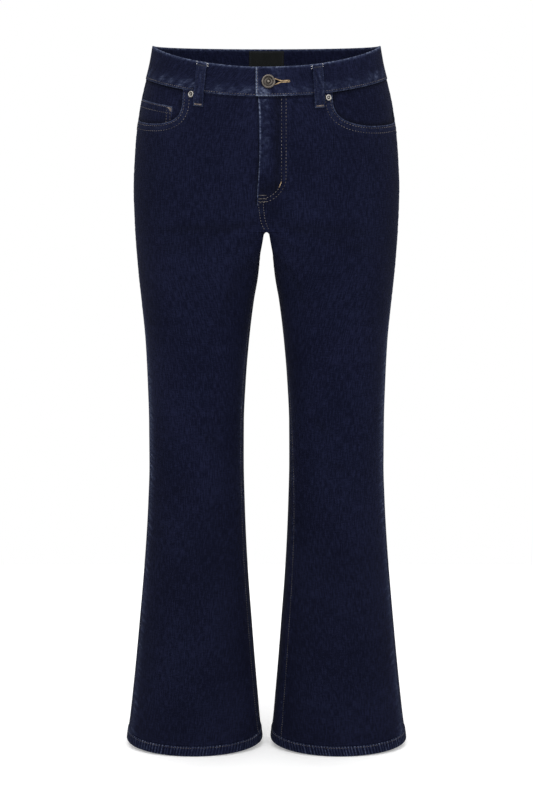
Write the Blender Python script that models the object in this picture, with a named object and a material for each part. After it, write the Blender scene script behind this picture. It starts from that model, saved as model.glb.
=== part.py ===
"""Bootcut jeans, hollow and upright as they are worn, with nothing inside them.

Metres, +Z up, +X to the wearer's left, -Y to the front. The origin is the centre of
the waist, at the middle of the waistband's height at the sides, where the wearer's
waist holds the garment up.

Every piece of cloth is a patch of one surface. A point of that surface is named by
the half of the garment that it is on, by its girth (the distance round the body from
the centre front, or from the inseam on a leg) and by its level (its height where the
surface crosses the side). Pieces that lie on others are the same points, moved out.
"""

from collections import namedtuple

import bpy
import numpy as np

MM = 0.001
LEFT, RIGHT = 1, -1  # the wearer's sides, which are also the signs of X

# Levels, measured at the side.
WAIST_TOP = 22.2 * MM
WAIST_SEAM = -23 * MM
POCKET_ZONE = -125 * MM  # below this level a front panel's rows are level
CROTCH = -231.5 * MM
HEM_EDGE = -983 * MM
HEM_HEIGHT = 14 * MM

# Cloth.
DENIM = 1.2 * MM
BAND_THICK = 2.4 * MM  # the waistband is two layers
HEM_THICK = 3.0 * MM  # the hem is three
LOOP_THICK = 1.8 * MM
FACING_THICK = 1.1 * MM
LABEL_THICK = 0.8 * MM
SEAM_GAP = 0.3 * MM
BAND_PROUD = 0.9 * MM  # how far the waistband and hems stand out of the panels
HEM_PROUD = 0.8 * MM

# Closure at the centre front: the wearer's left side laps over the right.
TAB_PAST = 14 * MM  # how far the waistband's tab goes past the centre
TAB_FLAT = 30 * MM  # up to here the tab lies on the underlap
TAB_RISE = 2.2 * MM
TAB_DOWN = 60 * MM
UNDERLAP = 26 * MM
UNDERLAP_SINK = 0.6 * MM
FLAP_RISE = 1.6 * MM
FLAP_FLAT = 2 * MM
FLAP_DOWN = 30 * MM
FLY_END = -190 * MM
FLY_UNDER = 1 * MM  # the right front's edge under the flap, from the centre

BUTTON_GIRTH = 2.5 * MM
BUTTON_LEVEL = -1.2 * MM
BUTTON_RADIUS = 9.5 * MM
SHANK_RADIUS = 2.4 * MM
BUTTONHOLE_END = 25 * MM
SLIT_HALF = 0.6 * MM
EYE_GAP = 0.4 * MM  # round the shank
EYE_POINTS = 13
RIVET_RADIUS = 4.5 * MM

LOOP_WIDTH = 14 * MM
LOOP_GAP = 2.4 * MM

Section = namedtuple("Section", "level outer inner front side back fork")
# Millimetres. level; half-width to the outside; half the gap between the legs; the
# depths of the front, the side and the back; and the depth of the innermost line of
# the leg, which starts at the crotch.
SECTIONS = [
    Section(22.2, 158.2, 0, -103, 0, 104, 0),
    Section(0, 162.2, 0, -107, 0, 106, 0),
    Section(-24.5, 168.2, 0, -112, 0, 110, 0),
    Section(-52, 174.9, 0, -116, 0, 115, 0),
    Section(-80, 179.8, 0, -118, 0, 121, 0),
    Section(-107, 183.2, 0, -119, 1, 127, -4),
    Section(-135, 185.4, 0, -118, 1, 132, -14),
    Section(-177, 187.3, 0, -115, 2, 136, -28),
    Section(-205, 186.8, 0, -112, 2, 133, -37),
    Section(-231.5, 185.7, 0, -109.5, 2, 124, -40),
    Section(-234.4, 185.6, 2.6, -109, 2, 122.5, -40),
    Section(-245, 185.0, 4.1, -108, 1, 118.5, -37),
    Section(-276, 182.8, 8.4, -105, 0, 105, -28),
    Section(-304.6, 180.2, 12.8, -101, -2, 93, -20),
    Section(-333, 177.2, 17.8, -98, -4, 84, -14),
    Section(-390, 171.8, 24.7, -93, -8, 70, -12),
    Section(-448, 169.1, 29.5, -89, -12, 60, -13),
    Section(-506, 167.6, 32.2, -85, -15, 53, -15),
    Section(-564, 167.7, 32.5, -80, -14, 52, -14),
    Section(-623, 170.2, 31.3, -74, -9, 56, -9),
    Section(-682, 174.2, 29.2, -69, -4, 61, -4),
    Section(-741.7, 179.5, 25.9, -64, 1, 66, 1),
    Section(-801.6, 185.4, 21.6, -59, 6, 71, 6),
    Section(-862, 191.6, 17.2, -54, 11, 76, 11),
    Section(-922.5, 198.4, 12.4, -49, 16, 81, 16),
    Section(-950, 201.8, 10.2, -47, 18, 84, 18),
    Section(-983, 206.6, 6.6, -44.5, 20.5, 86.5, 20.5),
]

Lean = namedtuple("Lean", "level dip power tilt turn_left turn_right forward")
# How rows and seams lean. dip, in millimetres: the row's drop at the centre front.
# power: how near the front the drop is felt. tilt: the row's drop towards the front as
# a share of depth. The turns, in degrees: how far each leg's inseam has come forward;
# forward: the same for the side seam.
LEANS = [
    Lean(22.2, 32.5, 1.45, 0.00, 0, 0, 2),
    Lean(-24.5, 26.0, 1.60, 0.00, 0, 0, 2),
    Lean(-80, 14.5, 1.50, 0.00, 0, 0, 2),
    Lean(-150, 3.0, 1.35, 0.00, 0, 0, 3),
    Lean(-200, 0.0, 1.35, 0.00, 0, 0, 4),
    Lean(-231.5, 0.0, 1.35, 0.00, 0, 0, 5),
    Lean(-276, 0.0, 1.35, 0.00, 4, 6, 7),
    Lean(-333, 0.0, 1.35, 0.00, 7, 12, 10),
    Lean(-448, 0.0, 1.35, 0.01, 12, 17, 14),
    Lean(-530, 0.0, 1.35, 0.02, 18, 18, 15),
    Lean(-600, 0.0, 1.35, 0.03, 24, 18, 16),
    Lean(-660, 0.0, 1.35, 0.05, 27, 18, 16),
    Lean(-800, 0.0, 1.35, 0.09, 28, 18, 16),
    Lean(-900, 0.0, 1.35, 0.12, 28, 17, 16),
    Lean(-983, 0.0, 1.35, 0.155, 28, 14, 16),
]

# The centre front seam and the fly's edge, millimetres to the wearer's right.
Edge = namedtuple("Edge", "level across")
FLY_EDGE = [
    Edge(-24.5, 10.9),
    Edge(-50, 8.8),
    Edge(-90, 8.4),
    Edge(-140, 10.0),
    Edge(-190, 12.6),
    Edge(-213, 10.0),
    Edge(-224, 7.0),
    Edge(-231.5, 0.0),
]

# Where the front and the back start to part into two legs, above the crotch.
FRONT_PARTS = -118 * MM
BACK_PARTS = -72 * MM
PARTED = -300 * MM  # below the crotch, where the outsides have parted too
PARTING_POWER = 1.35
CREASE = np.radians(122)  # how far round from the side the slower parting reaches
FORK_NARROW = 4  # how near the fork the gap between the legs is felt at the crotch
FORK_ROUND = 7 * MM  # how softly a leg turns into its inner wall, just below the crotch
BULGE_POWER = 0.90  # below 1, the front and back are a little flatter than an oval
FORK_POWER = 3  # how near the innermost line the fork's depth is felt
HALF_LEG_GAP = 0.15 * MM  # keeps the halves apart where they touch at the crotch

Fold = namedtuple("Fold", "side angle level lean length width depth")
# Soft folds. angle is the place round the half in degrees: 0 at the side, -90 in front
# and 90 behind. lean is the run's lean from the vertical in degrees. Millimetres for
# length, width and depth; a positive depth is a trough. Drag lines at the crotch, the
# knees, the seat and the backs of the knees and calves.
FOLDS = [
    Fold(LEFT, -112, -214, 58, 44, 12, 1.8),
    Fold(RIGHT, -108, -208, 54, 40, 12, 1.6),
    Fold(LEFT, -78, -186, 68, 50, 15, 1.1),
    Fold(RIGHT, -84, -172, 72, 44, 14, 1.0),
    Fold(LEFT, -96, -476, 28, 60, 17, 1.8),
    Fold(LEFT, -60, -545, 40, 46, 16, -1.2),
    Fold(RIGHT, -82, -560, 66, 44, 15, 1.5),
    Fold(RIGHT, -112, -610, 52, 50, 16, -1.1),
    Fold(LEFT, -88, -790, 12, 120, 22, 1.4),
    Fold(RIGHT, -94, -820, 8, 110, 22, 1.2),
    Fold(LEFT, 128, -262, 76, 56, 13, 3.0),
    Fold(RIGHT, 130, -258, 74, 60, 13, 2.8),
    Fold(LEFT, 104, -296, 68, 46, 14, 2.2),
    Fold(RIGHT, 108, -288, 66, 50, 14, 2.4),
    Fold(LEFT, 96, -520, 80, 44, 12, 2.8),
    Fold(RIGHT, 90, -528, 82, 46, 12, 3.0),
    Fold(LEFT, 76, -560, 70, 42, 13, 2.4),
    Fold(RIGHT, 82, -566, 72, 40, 13, 2.2),
    Fold(LEFT, 84, -830, 6, 110, 20, 2.0),
    Fold(RIGHT, 92, -850, 8, 100, 20, 1.8),
]
FOLD_RADIUS = 95 * MM  # turns an angle into a distance round the half


def smooth(knots, values):
    """A curve through points, with no overshoot between them."""
    order = np.argsort(knots)
    x = np.asarray(knots, float)[order]
    y = np.asarray(values, float)[order]
    step = np.diff(x)
    slope = np.diff(y) / step
    same_way = slope[1:] * slope[:-1] > 0
    product = np.where(same_way, slope[1:] * slope[:-1], 0)
    total = np.where(same_way, slope[1:] + slope[:-1], 1)
    tangent = np.concatenate([slope[:1], 2 * product / total, slope[-1:]])

    def at(q):
        q = np.clip(q, x[0], x[-1])
        i = np.clip(np.searchsorted(x, q) - 1, 0, len(x) - 2)
        t = (q - x[i]) / step[i]
        start = (1 + 2 * t) * (1 - t) ** 2 * y[i] + t * (1 - t) ** 2 * step[i] * tangent[i]
        end = t**2 * (3 - 2 * t) * y[i + 1] + t**2 * (t - 1) * step[i] * tangent[i + 1]
        return start + end

    return at


def column(rows, name, unit=MM):
    levels = [row.level * MM for row in rows]
    return smooth(levels, [getattr(row, name) * unit for row in rows])


def ramp(x, low, high):
    """0 below low, 1 above high, and smooth between."""
    t = np.clip((x - low) / (high - low), 0, 1)
    return t * t * (3 - 2 * t)


outer, inner, front, side_depth, back, fork = (
    column(SECTIONS, name) for name in ("outer", "inner", "front", "side", "back", "fork")
)
dip = column(LEANS, "dip")
dip_power = column(LEANS, "power", 1)
tilt = column(LEANS, "tilt", 1)
forward = column(LEANS, "forward", np.pi / 180)
turn = {
    LEFT: column(LEANS, "turn_left", np.pi / 180),
    RIGHT: column(LEANS, "turn_right", np.pi / 180),
}
fly_edge = column(FLY_EDGE, "across")


def parting(angle, level, start):
    """0 where the body is one oval, 1 where it is two. The centre parts at the crotch,
    and the outsides more slowly."""
    centre = np.clip((start - level) / (start - CROTCH), 0, 1) ** PARTING_POWER
    outside = ramp(-level, -start, -PARTED)
    return outside + (centre - outside) * ramp(np.abs(angle), CREASE, np.pi)


def toward_fork(angle):
    """0 at the side and 1 at the fork, the innermost line of a leg."""
    return (1 - np.cos(angle)) / 2


def across(angle, level, start):
    """The distance from the garment's centre. A leg keeps clear of the other one all the
    way along its inner wall."""
    middle = parting(angle, level, start) * outer(level) / 2
    narrow = 1 + (FORK_NARROW - 1) * ramp(level, PARTED, CROTCH)
    gap = inner(level) * toward_fork(angle) ** narrow
    oval = middle + (outer(level) - middle) * np.cos(angle) + gap
    round_off = FORK_ROUND * ramp(level, PARTED, CROTCH)
    wall = (oval + inner(level) + np.hypot(oval - inner(level), round_off)) / 2
    return np.where(level < CROTCH, wall, oval)


def end_angle(level, start):
    """The angle from a half's side to the garment's centre, or to the fork of a leg."""
    level = np.asarray(level, float)
    low, high = np.full(level.shape, np.pi / 2), np.full(level.shape, np.pi)
    for _ in range(26):
        middle = (low + high) / 2
        before = across(middle, level, start) > 0
        low, high = np.where(before, middle, low), np.where(before, high, middle)
    return high


def span(side, level):
    """The angles of a section's two ends. 0 is the side, and the front is below 0."""
    lead = turn[side](level)
    return lead - end_angle(level, FRONT_PARTS), lead + end_angle(level, BACK_PARTS)


def at_angle(side, angle, level):
    """A point of the surface, from its angle round the half and its level."""
    angle = np.where(angle > np.pi, angle - 2 * np.pi, angle)
    ahead = angle < 0
    start = np.where(ahead, FRONT_PARTS, BACK_PARTS)
    side_y = side_depth(level)
    depth = np.where(ahead, side_y - front(level), back(level) - side_y)
    y = side_y + depth * np.sign(angle) * np.abs(np.sin(angle)) ** BULGE_POWER
    forked = parting(angle, level, start) * toward_fork(angle) ** FORK_POWER
    y = y + (fork(level) - side_y) * forked
    facing = np.clip(-np.sin(angle), 0, 1) ** dip_power(level)
    z = level - dip(level) * facing + tilt(level) * (y - side_y)
    return np.stack([side * (across(angle, level, start) + HALF_LEG_GAP), y, z], axis=-1)


FINE = np.linspace(0, 1, 241)
NEAR_CROTCH = np.array([0.1, 0.25, 0.5, 1, 1.7, 2.5, 3.5]) * MM
LEVELS = np.unique(
    np.concatenate(
        [
            np.arange(HEM_EDGE, WAIST_TOP, 5 * MM),
            CROTCH - NEAR_CROTCH,
            CROTCH + NEAR_CROTCH,
            [CROTCH, WAIST_TOP],
        ]
    )
)


def girth_tables(side):
    """The girth along each level's section, and the angle at each share of it."""
    first, last = span(side, LEVELS)
    angles = first[:, None] + (last - first)[:, None] * FINE[None, :]
    points = at_angle(side, angles, LEVELS[:, None])
    steps = np.linalg.norm(np.diff(points, axis=1), axis=-1)
    along = np.concatenate([np.zeros((len(LEVELS), 1)), np.cumsum(steps, axis=1)], axis=1)
    rows = zip(along, angles)
    return angles, along, np.array([np.interp(FINE, a / a[-1], turned) for a, turned in rows])


TABLES = {side: girth_tables(side) for side in (LEFT, RIGHT)}
ANGLES, ALONG, AT_SHARE = ({side: TABLES[side][k] for side in TABLES} for k in range(3))


def between(table, level, share):
    """Reads a table with a row for each of LEVELS and a column for each of FINE."""
    i = np.clip(np.searchsorted(LEVELS, level) - 1, 0, len(LEVELS) - 2)
    t = (level - LEVELS[i]) / (LEVELS[i + 1] - LEVELS[i])
    k = np.clip(share, 0, 1) * (len(FINE) - 1)
    j = np.clip(k.astype(int), 0, len(FINE) - 2)
    u = k - j
    low = table[i, j] * (1 - u) + table[i, j + 1] * u
    high = table[i + 1, j] * (1 - u) + table[i + 1, j + 1] * u
    return low * (1 - t) + high * t


def full_girth(side, level):
    return np.interp(level, LEVELS, ALONG[side][:, -1])


def girth_at(side, angle, level):
    """The girth at which an angle lies."""
    first = np.interp(level, LEVELS, ANGLES[side][:, 0])
    last = np.interp(level, LEVELS, ANGLES[side][:, -1])
    return between(ALONG[side], level, (angle - first) / (last - first))


def side_seam(side, level):
    """The girth of the side seam."""
    level = np.asarray(level, float)
    return girth_at(side, -forward(level), level)


def locate(side, girth, level):
    """The half and the angle of a place. Above the crotch a girth below 0 or past the
    centre back is on the other half; on a leg it goes on round the leg."""
    whole = full_girth(side, level)
    torso = level > CROTCH
    crossed = torso & ((girth < 0) | (girth > whole))
    folded = np.where(girth < 0, -girth, 2 * whole - girth)
    share = np.where(torso, np.where(crossed, folded, girth), girth % whole) / whole
    here, there = (between(AT_SHARE[half], level, share) for half in (side, -side))
    return np.where(crossed, -side, side), np.where(crossed, there, here)


def fold_depth(half, angle, level):
    total = np.zeros(np.shape(angle))
    for fold in FOLDS:
        off = angle - np.radians(fold.angle)
        away = (off + np.pi) % (2 * np.pi) - np.pi
        away = away * FOLD_RADIUS
        down = fold.level * MM - level
        lean = np.radians(fold.lean)
        along_run = away * np.sin(lean) + down * np.cos(lean)
        off_run = away * np.cos(lean) - down * np.sin(lean)
        shape = np.exp(-((off_run / (fold.width * MM)) ** 2))
        shape = shape * np.exp(-((along_run / (fold.length * MM)) ** 2))
        total = total + np.where(half == fold.side, fold.depth * MM * shape, 0)
    return total


ANGLE_STEP, LEVEL_STEP = np.radians(0.8), 1.5 * MM  # half the steps of a slope


def surface(side, girth, level, out=0.0):
    """Points of the garment's outer surface, moved out along its normal."""
    girth, level, out = np.broadcast_arrays(
        np.asarray(girth, float), np.asarray(level, float), np.asarray(out, float)
    )
    half, angle = locate(side, girth, level)
    round_it = at_angle(half, angle + ANGLE_STEP, level) - at_angle(half, angle - ANGLE_STEP, level)
    up_it = at_angle(half, angle, level + LEVEL_STEP) - at_angle(half, angle, level - LEVEL_STEP)
    normal = half[..., None] * np.cross(round_it, up_it)
    normal = normal / np.linalg.norm(normal, axis=-1, keepdims=True)
    point = at_angle(half, angle, level)
    point[..., 0] = half * np.maximum(half * point[..., 0], HALF_LEG_GAP)
    moved = out - fold_depth(half, angle, level)
    return point + moved[..., None] * normal


def material(name, colour, rough, metal=0.0):
    found = bpy.data.materials.get(name)
    if found:
        return found
    made = bpy.data.materials.new(name)
    made.use_nodes = True
    shader = made.node_tree.nodes["Principled BSDF"]
    shader.inputs["Base Color"].default_value = (*colour, 1)
    shader.inputs["Roughness"].default_value = rough
    shader.inputs["Metallic"].default_value = metal
    made.diffuse_color = (*colour, 1)
    return made


def denim():
    return material("denim", (0.010, 0.012, 0.028), 0.85)


def label_cloth():
    return material("label_cloth", (0.010, 0.010, 0.012), 0.7)


def tape_cloth():
    return material("tape_cloth", (0.012, 0.014, 0.03), 0.75)


def aged_metal():
    return material("aged_metal", (0.28, 0.24, 0.20), 0.38, 1.0)


def add(name, points, faces, finish):
    mesh = bpy.data.meshes.new(name)
    mesh.from_pydata([tuple(p) for p in points], [], faces)
    mesh.update()
    mesh.materials.append(finish)
    made = bpy.data.objects.new(name, mesh)
    bpy.context.scene.collection.objects.link(made)
    mesh.shade_smooth()
    return made


def cloth(name, side, girth, level, out, thick, finish, closed=False):
    """A wall of cloth on a grid of girths and levels, whose outer face is moved out by
    out. Rows go down the garment and columns go round it from the front."""
    shown = surface(side, girth, level, out)
    rows, columns = shown.shape[:2]
    count = rows * columns
    hidden = surface(side, girth, level, np.asarray(out) - thick)
    faces = []
    for r in range(rows - 1):
        for c in range(columns if closed else columns - 1):
            d = (c + 1) % columns
            a, b = r * columns + c, r * columns + d
            faces.append((a, a + columns, b + columns, b))
            faces.append((b + count, b + columns + count, a + columns + count, a + count))
    top = list(range(columns))
    bottom = [c + (rows - 1) * columns for c in range(columns)]
    if closed:
        edges = [top + top[:1], (bottom + bottom[:1])[::-1]]
    else:
        far = [r * columns + columns - 1 for r in range(rows)]
        near = [r * columns for r in range(rows)]
        edges = [top + far[1:] + bottom[-2::-1] + near[-2::-1]]
    for edge in edges:
        faces += [(a, b, b + count, a + count) for a, b in zip(edge[:-1], edge[1:])]
    if side == RIGHT:
        faces = [face[::-1] for face in faces]
    points = np.concatenate([shown.reshape(-1, 3), hidden.reshape(-1, 3)])
    made = add(name, points, faces, finish)
    made.data.set_sharp_from_angle(angle=np.radians(50))
    return made


def levels_between(top, bottom, most):
    """Levels from top to bottom, no more than most apart."""
    count = max(2, int(np.ceil((top - bottom) / most)) + 1)
    return np.linspace(top, bottom, count)


# Rows of the leg panels: closer together where the legs part.
TURN_ROWS = np.array([-150, -173, -191, -204, -214.5, -222, -227.5, -230.4, -231.5]) * MM
FORK_ROWS = np.array([-233.6, -238, -246, -260, -280, -306]) * MM
LEG_ROWS = levels_between(-335 * MM, HEM_EDGE + HEM_HEIGHT + SEAM_GAP, 34 * MM)
LOWER_ROWS = np.concatenate([TURN_ROWS, FORK_ROWS, LEG_ROWS])
EVEN_TOP, EVEN_BOTTOM = -150 * MM, -310 * MM
GATHER_POWER = 6


def panel_girth(side, level, edge, reach, gap):
    """Girths across a leg panel, from the side seam (reach 0) to its edge (reach 1).
    Where the panel turns under at the crotch, its inner columns take up the turn."""
    level = np.asarray(level, float)

    def width(at):
        at = np.asarray(at, float)
        return edge(side, at) - side_seam(side, at) - gap

    t = np.clip((EVEN_TOP - level) / (EVEN_TOP - EVEN_BOTTOM), 0, 1)
    even = width(EVEN_TOP) * (1 - t) + width(EVEN_BOTTOM) * t
    even = np.where((t > 0) & (t < 1), even, width(level))
    extra = width(level) - even
    return side_seam(side, level) + gap + even * reach + extra * reach**GATHER_POWER


def back_edge(side, level):
    return full_girth(side, level) - SEAM_GAP / 2


PocketMouth = namedtuple("PocketMouth", "start drop power rise")
# The girth where the curved mouth leaves the waistband, its drop, how square its corner
# is, and how much its lower edge rises again toward the side seam. Lengths in metres.
POCKET_MOUTH = {
    LEFT: PocketMouth(91 * MM, 63 * MM, 3.2, 4.0 * MM),
    RIGHT: PocketMouth(118 * MM, 59 * MM, 4.0, 2.0 * MM),
}
# Shares of the way from the side seam to the start, closer together at the corner.
MOUTH_STOPS = np.array([0, 0.10, 0.20, 0.31, 0.43, 0.56, 0.68, 0.79, 0.88, 0.94, 0.98, 0.996, 1])


def mouth_curve(side):
    """The pocket mouth from the side seam to the waistband, as girths and levels."""
    mouth = POCKET_MOUTH[side]
    down = (1 - MOUTH_STOPS**mouth.power) ** (1 / mouth.power)
    level = WAIST_SEAM - SEAM_GAP - mouth.drop * down + mouth.rise * (1 - MOUTH_STOPS) ** 2
    seam = side_seam(side, level) - SEAM_GAP / 2
    return seam - (seam - mouth.start) * MOUTH_STOPS, level


def front_inner_edge(side, level):
    """Where a front panel starts: the fly's edge, the front seam or the inseam."""
    seam = SEAM_GAP / 2 - side * fly_edge(level)
    if side == LEFT:
        torso = seam
    else:
        past_fly = ramp(-level, -FLY_END - 24 * MM, -FLY_END - 3 * MM)
        torso = FLY_UNDER * (1 - past_fly) + seam * past_fly
    return np.where(level >= CROTCH, torso, SEAM_GAP / 2)


TOP_ROWS = 3
FLAP_COLUMNS = {
    LEFT: np.array([74, 59, 43, 29, 17, 6, -4]) * MM,
    RIGHT: np.array([98, 80, 62, 46, 33, 22, 11]) * MM,
}


def front_grid(side):
    """Girths and levels of a front panel. Its top edge is the pocket mouth and then
    the waistband seam; its columns run down from there to the hem."""
    mouth_girth, mouth_level = mouth_curve(side)
    inner_end = front_inner_edge(side, WAIST_SEAM)
    top_girth = np.concatenate([mouth_girth, FLAP_COLUMNS[side], [inner_end]])
    straight = np.full(len(top_girth) - len(mouth_girth), WAIST_SEAM - SEAM_GAP)
    top_level = np.concatenate([mouth_level, straight])
    reach = 1 - (top_girth - inner_end) / (top_girth[0] - inner_end)

    def row(level):
        return panel_girth(side, level, front_inner_edge, reach, -SEAM_GAP / 2)

    girths, levels = [], []
    for t in np.linspace(0, 1, TOP_ROWS + 1):
        level = top_level * (1 - t) + POCKET_ZONE * t
        girths.append(top_girth * (1 - t) + row(POCKET_ZONE) * t)
        levels.append(level)
    for level in LOWER_ROWS:
        girths.append(row(level))
        levels.append(np.full(len(reach), level))
    return np.array(girths)[:, ::-1], np.array(levels)[:, ::-1]


def flap_rise(side, girth, level):
    """The fly's flap stands out where it lies on the right front."""
    if side == RIGHT:
        return np.zeros(np.shape(girth))
    near = 1 - ramp(girth, FLAP_FLAT, FLAP_DOWN)
    above = ramp(level, FLY_END - 16 * MM, FLY_END)
    return FLAP_RISE * near * above


def front_panel(name, side):
    girth, level = front_grid(side)
    cloth(name, side, girth, level, flap_rise(side, girth, level), DENIM, denim())


YOKE_SIDE_DROP = 38 * MM
YOKE_CENTRE_DROP = 68 * MM
BACK_COLUMNS = 13


def yoke_seam(share):
    """The yoke's lower edge: share is 0 at the side seam and 1 at the centre back."""
    sag = 4 * MM * np.sin(np.pi * share)
    return WAIST_SEAM - YOKE_SIDE_DROP - (YOKE_CENTRE_DROP - YOKE_SIDE_DROP) * share - sag


def back_girth(side, share, level):
    return panel_girth(side, level, back_edge, share, SEAM_GAP / 2)


def yoke(name, side):
    share = np.linspace(0, 1, BACK_COLUMNS)
    low = yoke_seam(share) + SEAM_GAP / 2
    high = WAIST_SEAM - SEAM_GAP
    level = np.array([high * (1 - t) + low * t for t in np.linspace(0, 1, 4)])
    cloth(name, side, back_girth(side, share, level), level, 0, DENIM, denim())


def back_panel(name, side):
    share = np.linspace(0, 1, BACK_COLUMNS)
    top = yoke_seam(share) - SEAM_GAP / 2
    upper = [top * (1 - t) + TURN_ROWS[0] * t for t in np.linspace(0, 1, 4)]
    lower = [np.full(BACK_COLUMNS, level) for level in LOWER_ROWS[1:]]
    level = np.array(upper + lower)
    cloth(name, side, back_girth(side, share, level), level, 0, DENIM, denim())


HEM_ROWS = 3
HEM_COLUMNS = 40


def hem(name, side):
    """The turned hem, a ring round the leg under both panels."""
    levels = np.linspace(HEM_EDGE + HEM_HEIGHT, HEM_EDGE, HEM_ROWS)
    whole = full_girth(side, levels)[:, None]
    girth = whole * np.arange(HEM_COLUMNS)[None, :] / HEM_COLUMNS
    cloth(name, side, girth, levels[:, None], HEM_PROUD, HEM_THICK, denim(), closed=True)


UNDER_TAB = 36 * MM  # how far before the centre the band starts to sink under the tab
UNDER_DOWN = 18 * MM


def band_out(girth, whole):
    """How far out the waistband lies, along its run from the tab's end (below 0) round
    the wearer's left, back and right to the underlap's end (past twice the half)."""
    tab = 1 - ramp(girth, TAB_FLAT, TAB_DOWN)
    past = girth - 2 * whole
    under = ramp(past, -UNDER_TAB, UNDER_DOWN - UNDER_TAB)
    return BAND_PROUD + TAB_RISE * tab - UNDERLAP_SINK * under


BAND_ROWS = 4
BAND_STEP = 16 * MM
TAB_COLUMNS = 9
UNDERLAP_COLUMNS = 8


def band_run(level):
    """Girths along the waistband from the tab's end to the underlap's."""
    whole = float(full_girth(LEFT, level))
    start, end = TAB_DOWN + 5 * MM, 2 * whole - UNDER_TAB - 4 * MM
    tab = np.linspace(-TAB_PAST, start, TAB_COLUMNS, endpoint=False)
    count = int(round((2 * full_girth(LEFT, WAIST_SEAM) - 2 * start) / BAND_STEP))
    middle = np.linspace(start, end, count, endpoint=False)
    under = np.linspace(end, 2 * whole + UNDERLAP, UNDERLAP_COLUMNS)
    return np.concatenate([tab, middle, under]), whole


def waistband():
    levels = np.linspace(WAIST_TOP, WAIST_SEAM, BAND_ROWS)
    runs = [band_run(level) for level in levels]
    girth = np.array([run for run, _ in runs])
    wraps = np.array([[whole] for _, whole in runs])
    out = band_out(girth, wraps)
    # The underlap's end has gone right round and past the centre front again.
    lapped = girth > 2 * wraps
    once_round = np.where(lapped, girth - 2 * wraps, girth)
    level = np.repeat(levels[:, None], girth.shape[1], axis=1)
    band = cloth("waistband", LEFT, once_round, level, out, BAND_THICK, denim())
    cut_buttonhole(band)


def frame_at(girth, level, out):
    """A place on the surface and its three directions: round, up and out."""
    def at(g, h, d):
        return surface(LEFT, g, h, d).reshape(3)

    centre = at(girth, level, out)
    away = at(girth, level, out + MM) - centre
    away = away / np.linalg.norm(away)
    round_it = at(girth + 2 * MM, level, out) - at(girth - 2 * MM, level, out)
    round_it = round_it - away * np.dot(round_it, away)
    round_it = round_it / np.linalg.norm(round_it)
    return centre, round_it, np.cross(away, round_it), away


def prism(name, outline, low, high, frame, finish):
    """A solid that stands out from the cloth, on an outline of (round, up) points."""
    centre, round_it, up, away = frame
    points = []
    for out in (low, high):
        points += [centre + round_it * x + up * y + away * out for x, y in outline]
    n = len(outline)
    faces = [tuple(range(n))[::-1], tuple(range(n, 2 * n))]
    faces += [(i, (i + 1) % n, (i + 1) % n + n, i + n) for i in range(n)]
    return add(name, points, faces, finish)


def keyhole_outline():
    """A round eye for the shank, with a slit that runs from it."""
    radius = SHANK_RADIUS + EYE_GAP
    start = np.arcsin(SLIT_HALF / radius)
    turn_round = np.linspace(start, 2 * np.pi - start, EYE_POINTS)
    eye = [(radius * np.cos(a), radius * np.sin(a)) for a in turn_round]
    return eye + [(BUTTONHOLE_END, -SLIT_HALF), (BUTTONHOLE_END, SLIT_HALF)]


def tab_frame():
    return frame_at(BUTTON_GIRTH, BUTTON_LEVEL, BAND_PROUD + TAB_RISE)


def cut_buttonhole(band):
    """The hole goes through the tab only, and stops above the underlap."""
    below = -(BAND_THICK + 0.3 * MM)
    cutter = prism("buttonhole_cutter", keyhole_outline(), below, 2 * MM, tab_frame(), denim())
    cutter.hide_render = True
    cutter.display_type = "WIRE"
    cut = band.modifiers.new("buttonhole", "BOOLEAN")
    cut.operation = "DIFFERENCE"
    cut.object = cutter
    cut.solver = "EXACT"


def turned(name, profile, frame, sides, finish):
    """A solid turned about the outward direction from (radius, out) points."""
    centre, round_it, up, away = frame
    points, faces = [centre + away * profile[0][1]], []
    for radius, out in profile[1:-1]:
        for k in range(sides):
            a = 2 * np.pi * k / sides
            ray = round_it * np.cos(a) + up * np.sin(a)
            points.append(centre + ray * radius + away * out)
    points.append(centre + away * profile[-1][1])
    last, rings = len(points) - 1, len(profile) - 2
    for k in range(sides):
        n = (k + 1) % sides
        faces.append((0, 1 + k, 1 + n))
        for r in range(rings - 1):
            a, b = 1 + r * sides, 1 + (r + 1) * sides
            faces.append((a + k, b + k, b + n, a + n))
        top = 1 + (rings - 1) * sides
        faces.append((last, top + n, top + k))
    return add(name, points, faces, finish)


def button():
    """A shank button: the shank comes up through the tab's hole from the underlap."""
    foot = -(BAND_THICK + 0.1 * MM)
    r = BUTTON_RADIUS
    profile = [
        (0, 3.4 * MM),
        (1.6 * MM, 3.2 * MM),
        (2.4 * MM, 2.4 * MM),
        (r * 0.62, 2.2 * MM),
        (r * 0.74, 2.9 * MM),
        (r * 0.92, 2.9 * MM),
        (r, 2.2 * MM),
        (r * 0.97, 0.7 * MM),
        (SHANK_RADIUS, 0.5 * MM),
        (SHANK_RADIUS, foot),
        (0, foot),
    ]
    turned("button", profile, tab_frame(), 24, aged_metal())


def rivet(name, side, girth, level):
    centre = surface(side, girth, level, 0.4 * MM).reshape(3)
    away = surface(side, girth, level, 1.4 * MM).reshape(3) - centre
    away = away / np.linalg.norm(away)
    round_it = np.cross([0.0, 0.0, 1.0], away)
    round_it = round_it / np.linalg.norm(round_it)
    frame = (centre, round_it, np.cross(away, round_it), away)
    r = RIVET_RADIUS
    profile = [
        (0, 1.7 * MM),
        (r * 0.24, 1.6 * MM),
        (r * 0.40, 0.9 * MM),
        (r * 0.62, 1.5 * MM),
        (r * 0.86, 1.3 * MM),
        (r, 0.4 * MM),
        (r * 0.98, 0.0),
        (0, 0.0),
    ]
    turned(name, profile, frame, 16, aged_metal())


Rivet = namedtuple("Rivet", "side girth drop")
# Millimetres; drop is from the waistband.
RIVETS = {
    "rivet_left": Rivet(LEFT, 85, 8),
    "rivet_right": Rivet(RIGHT, 105, 5.5),
}

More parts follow.
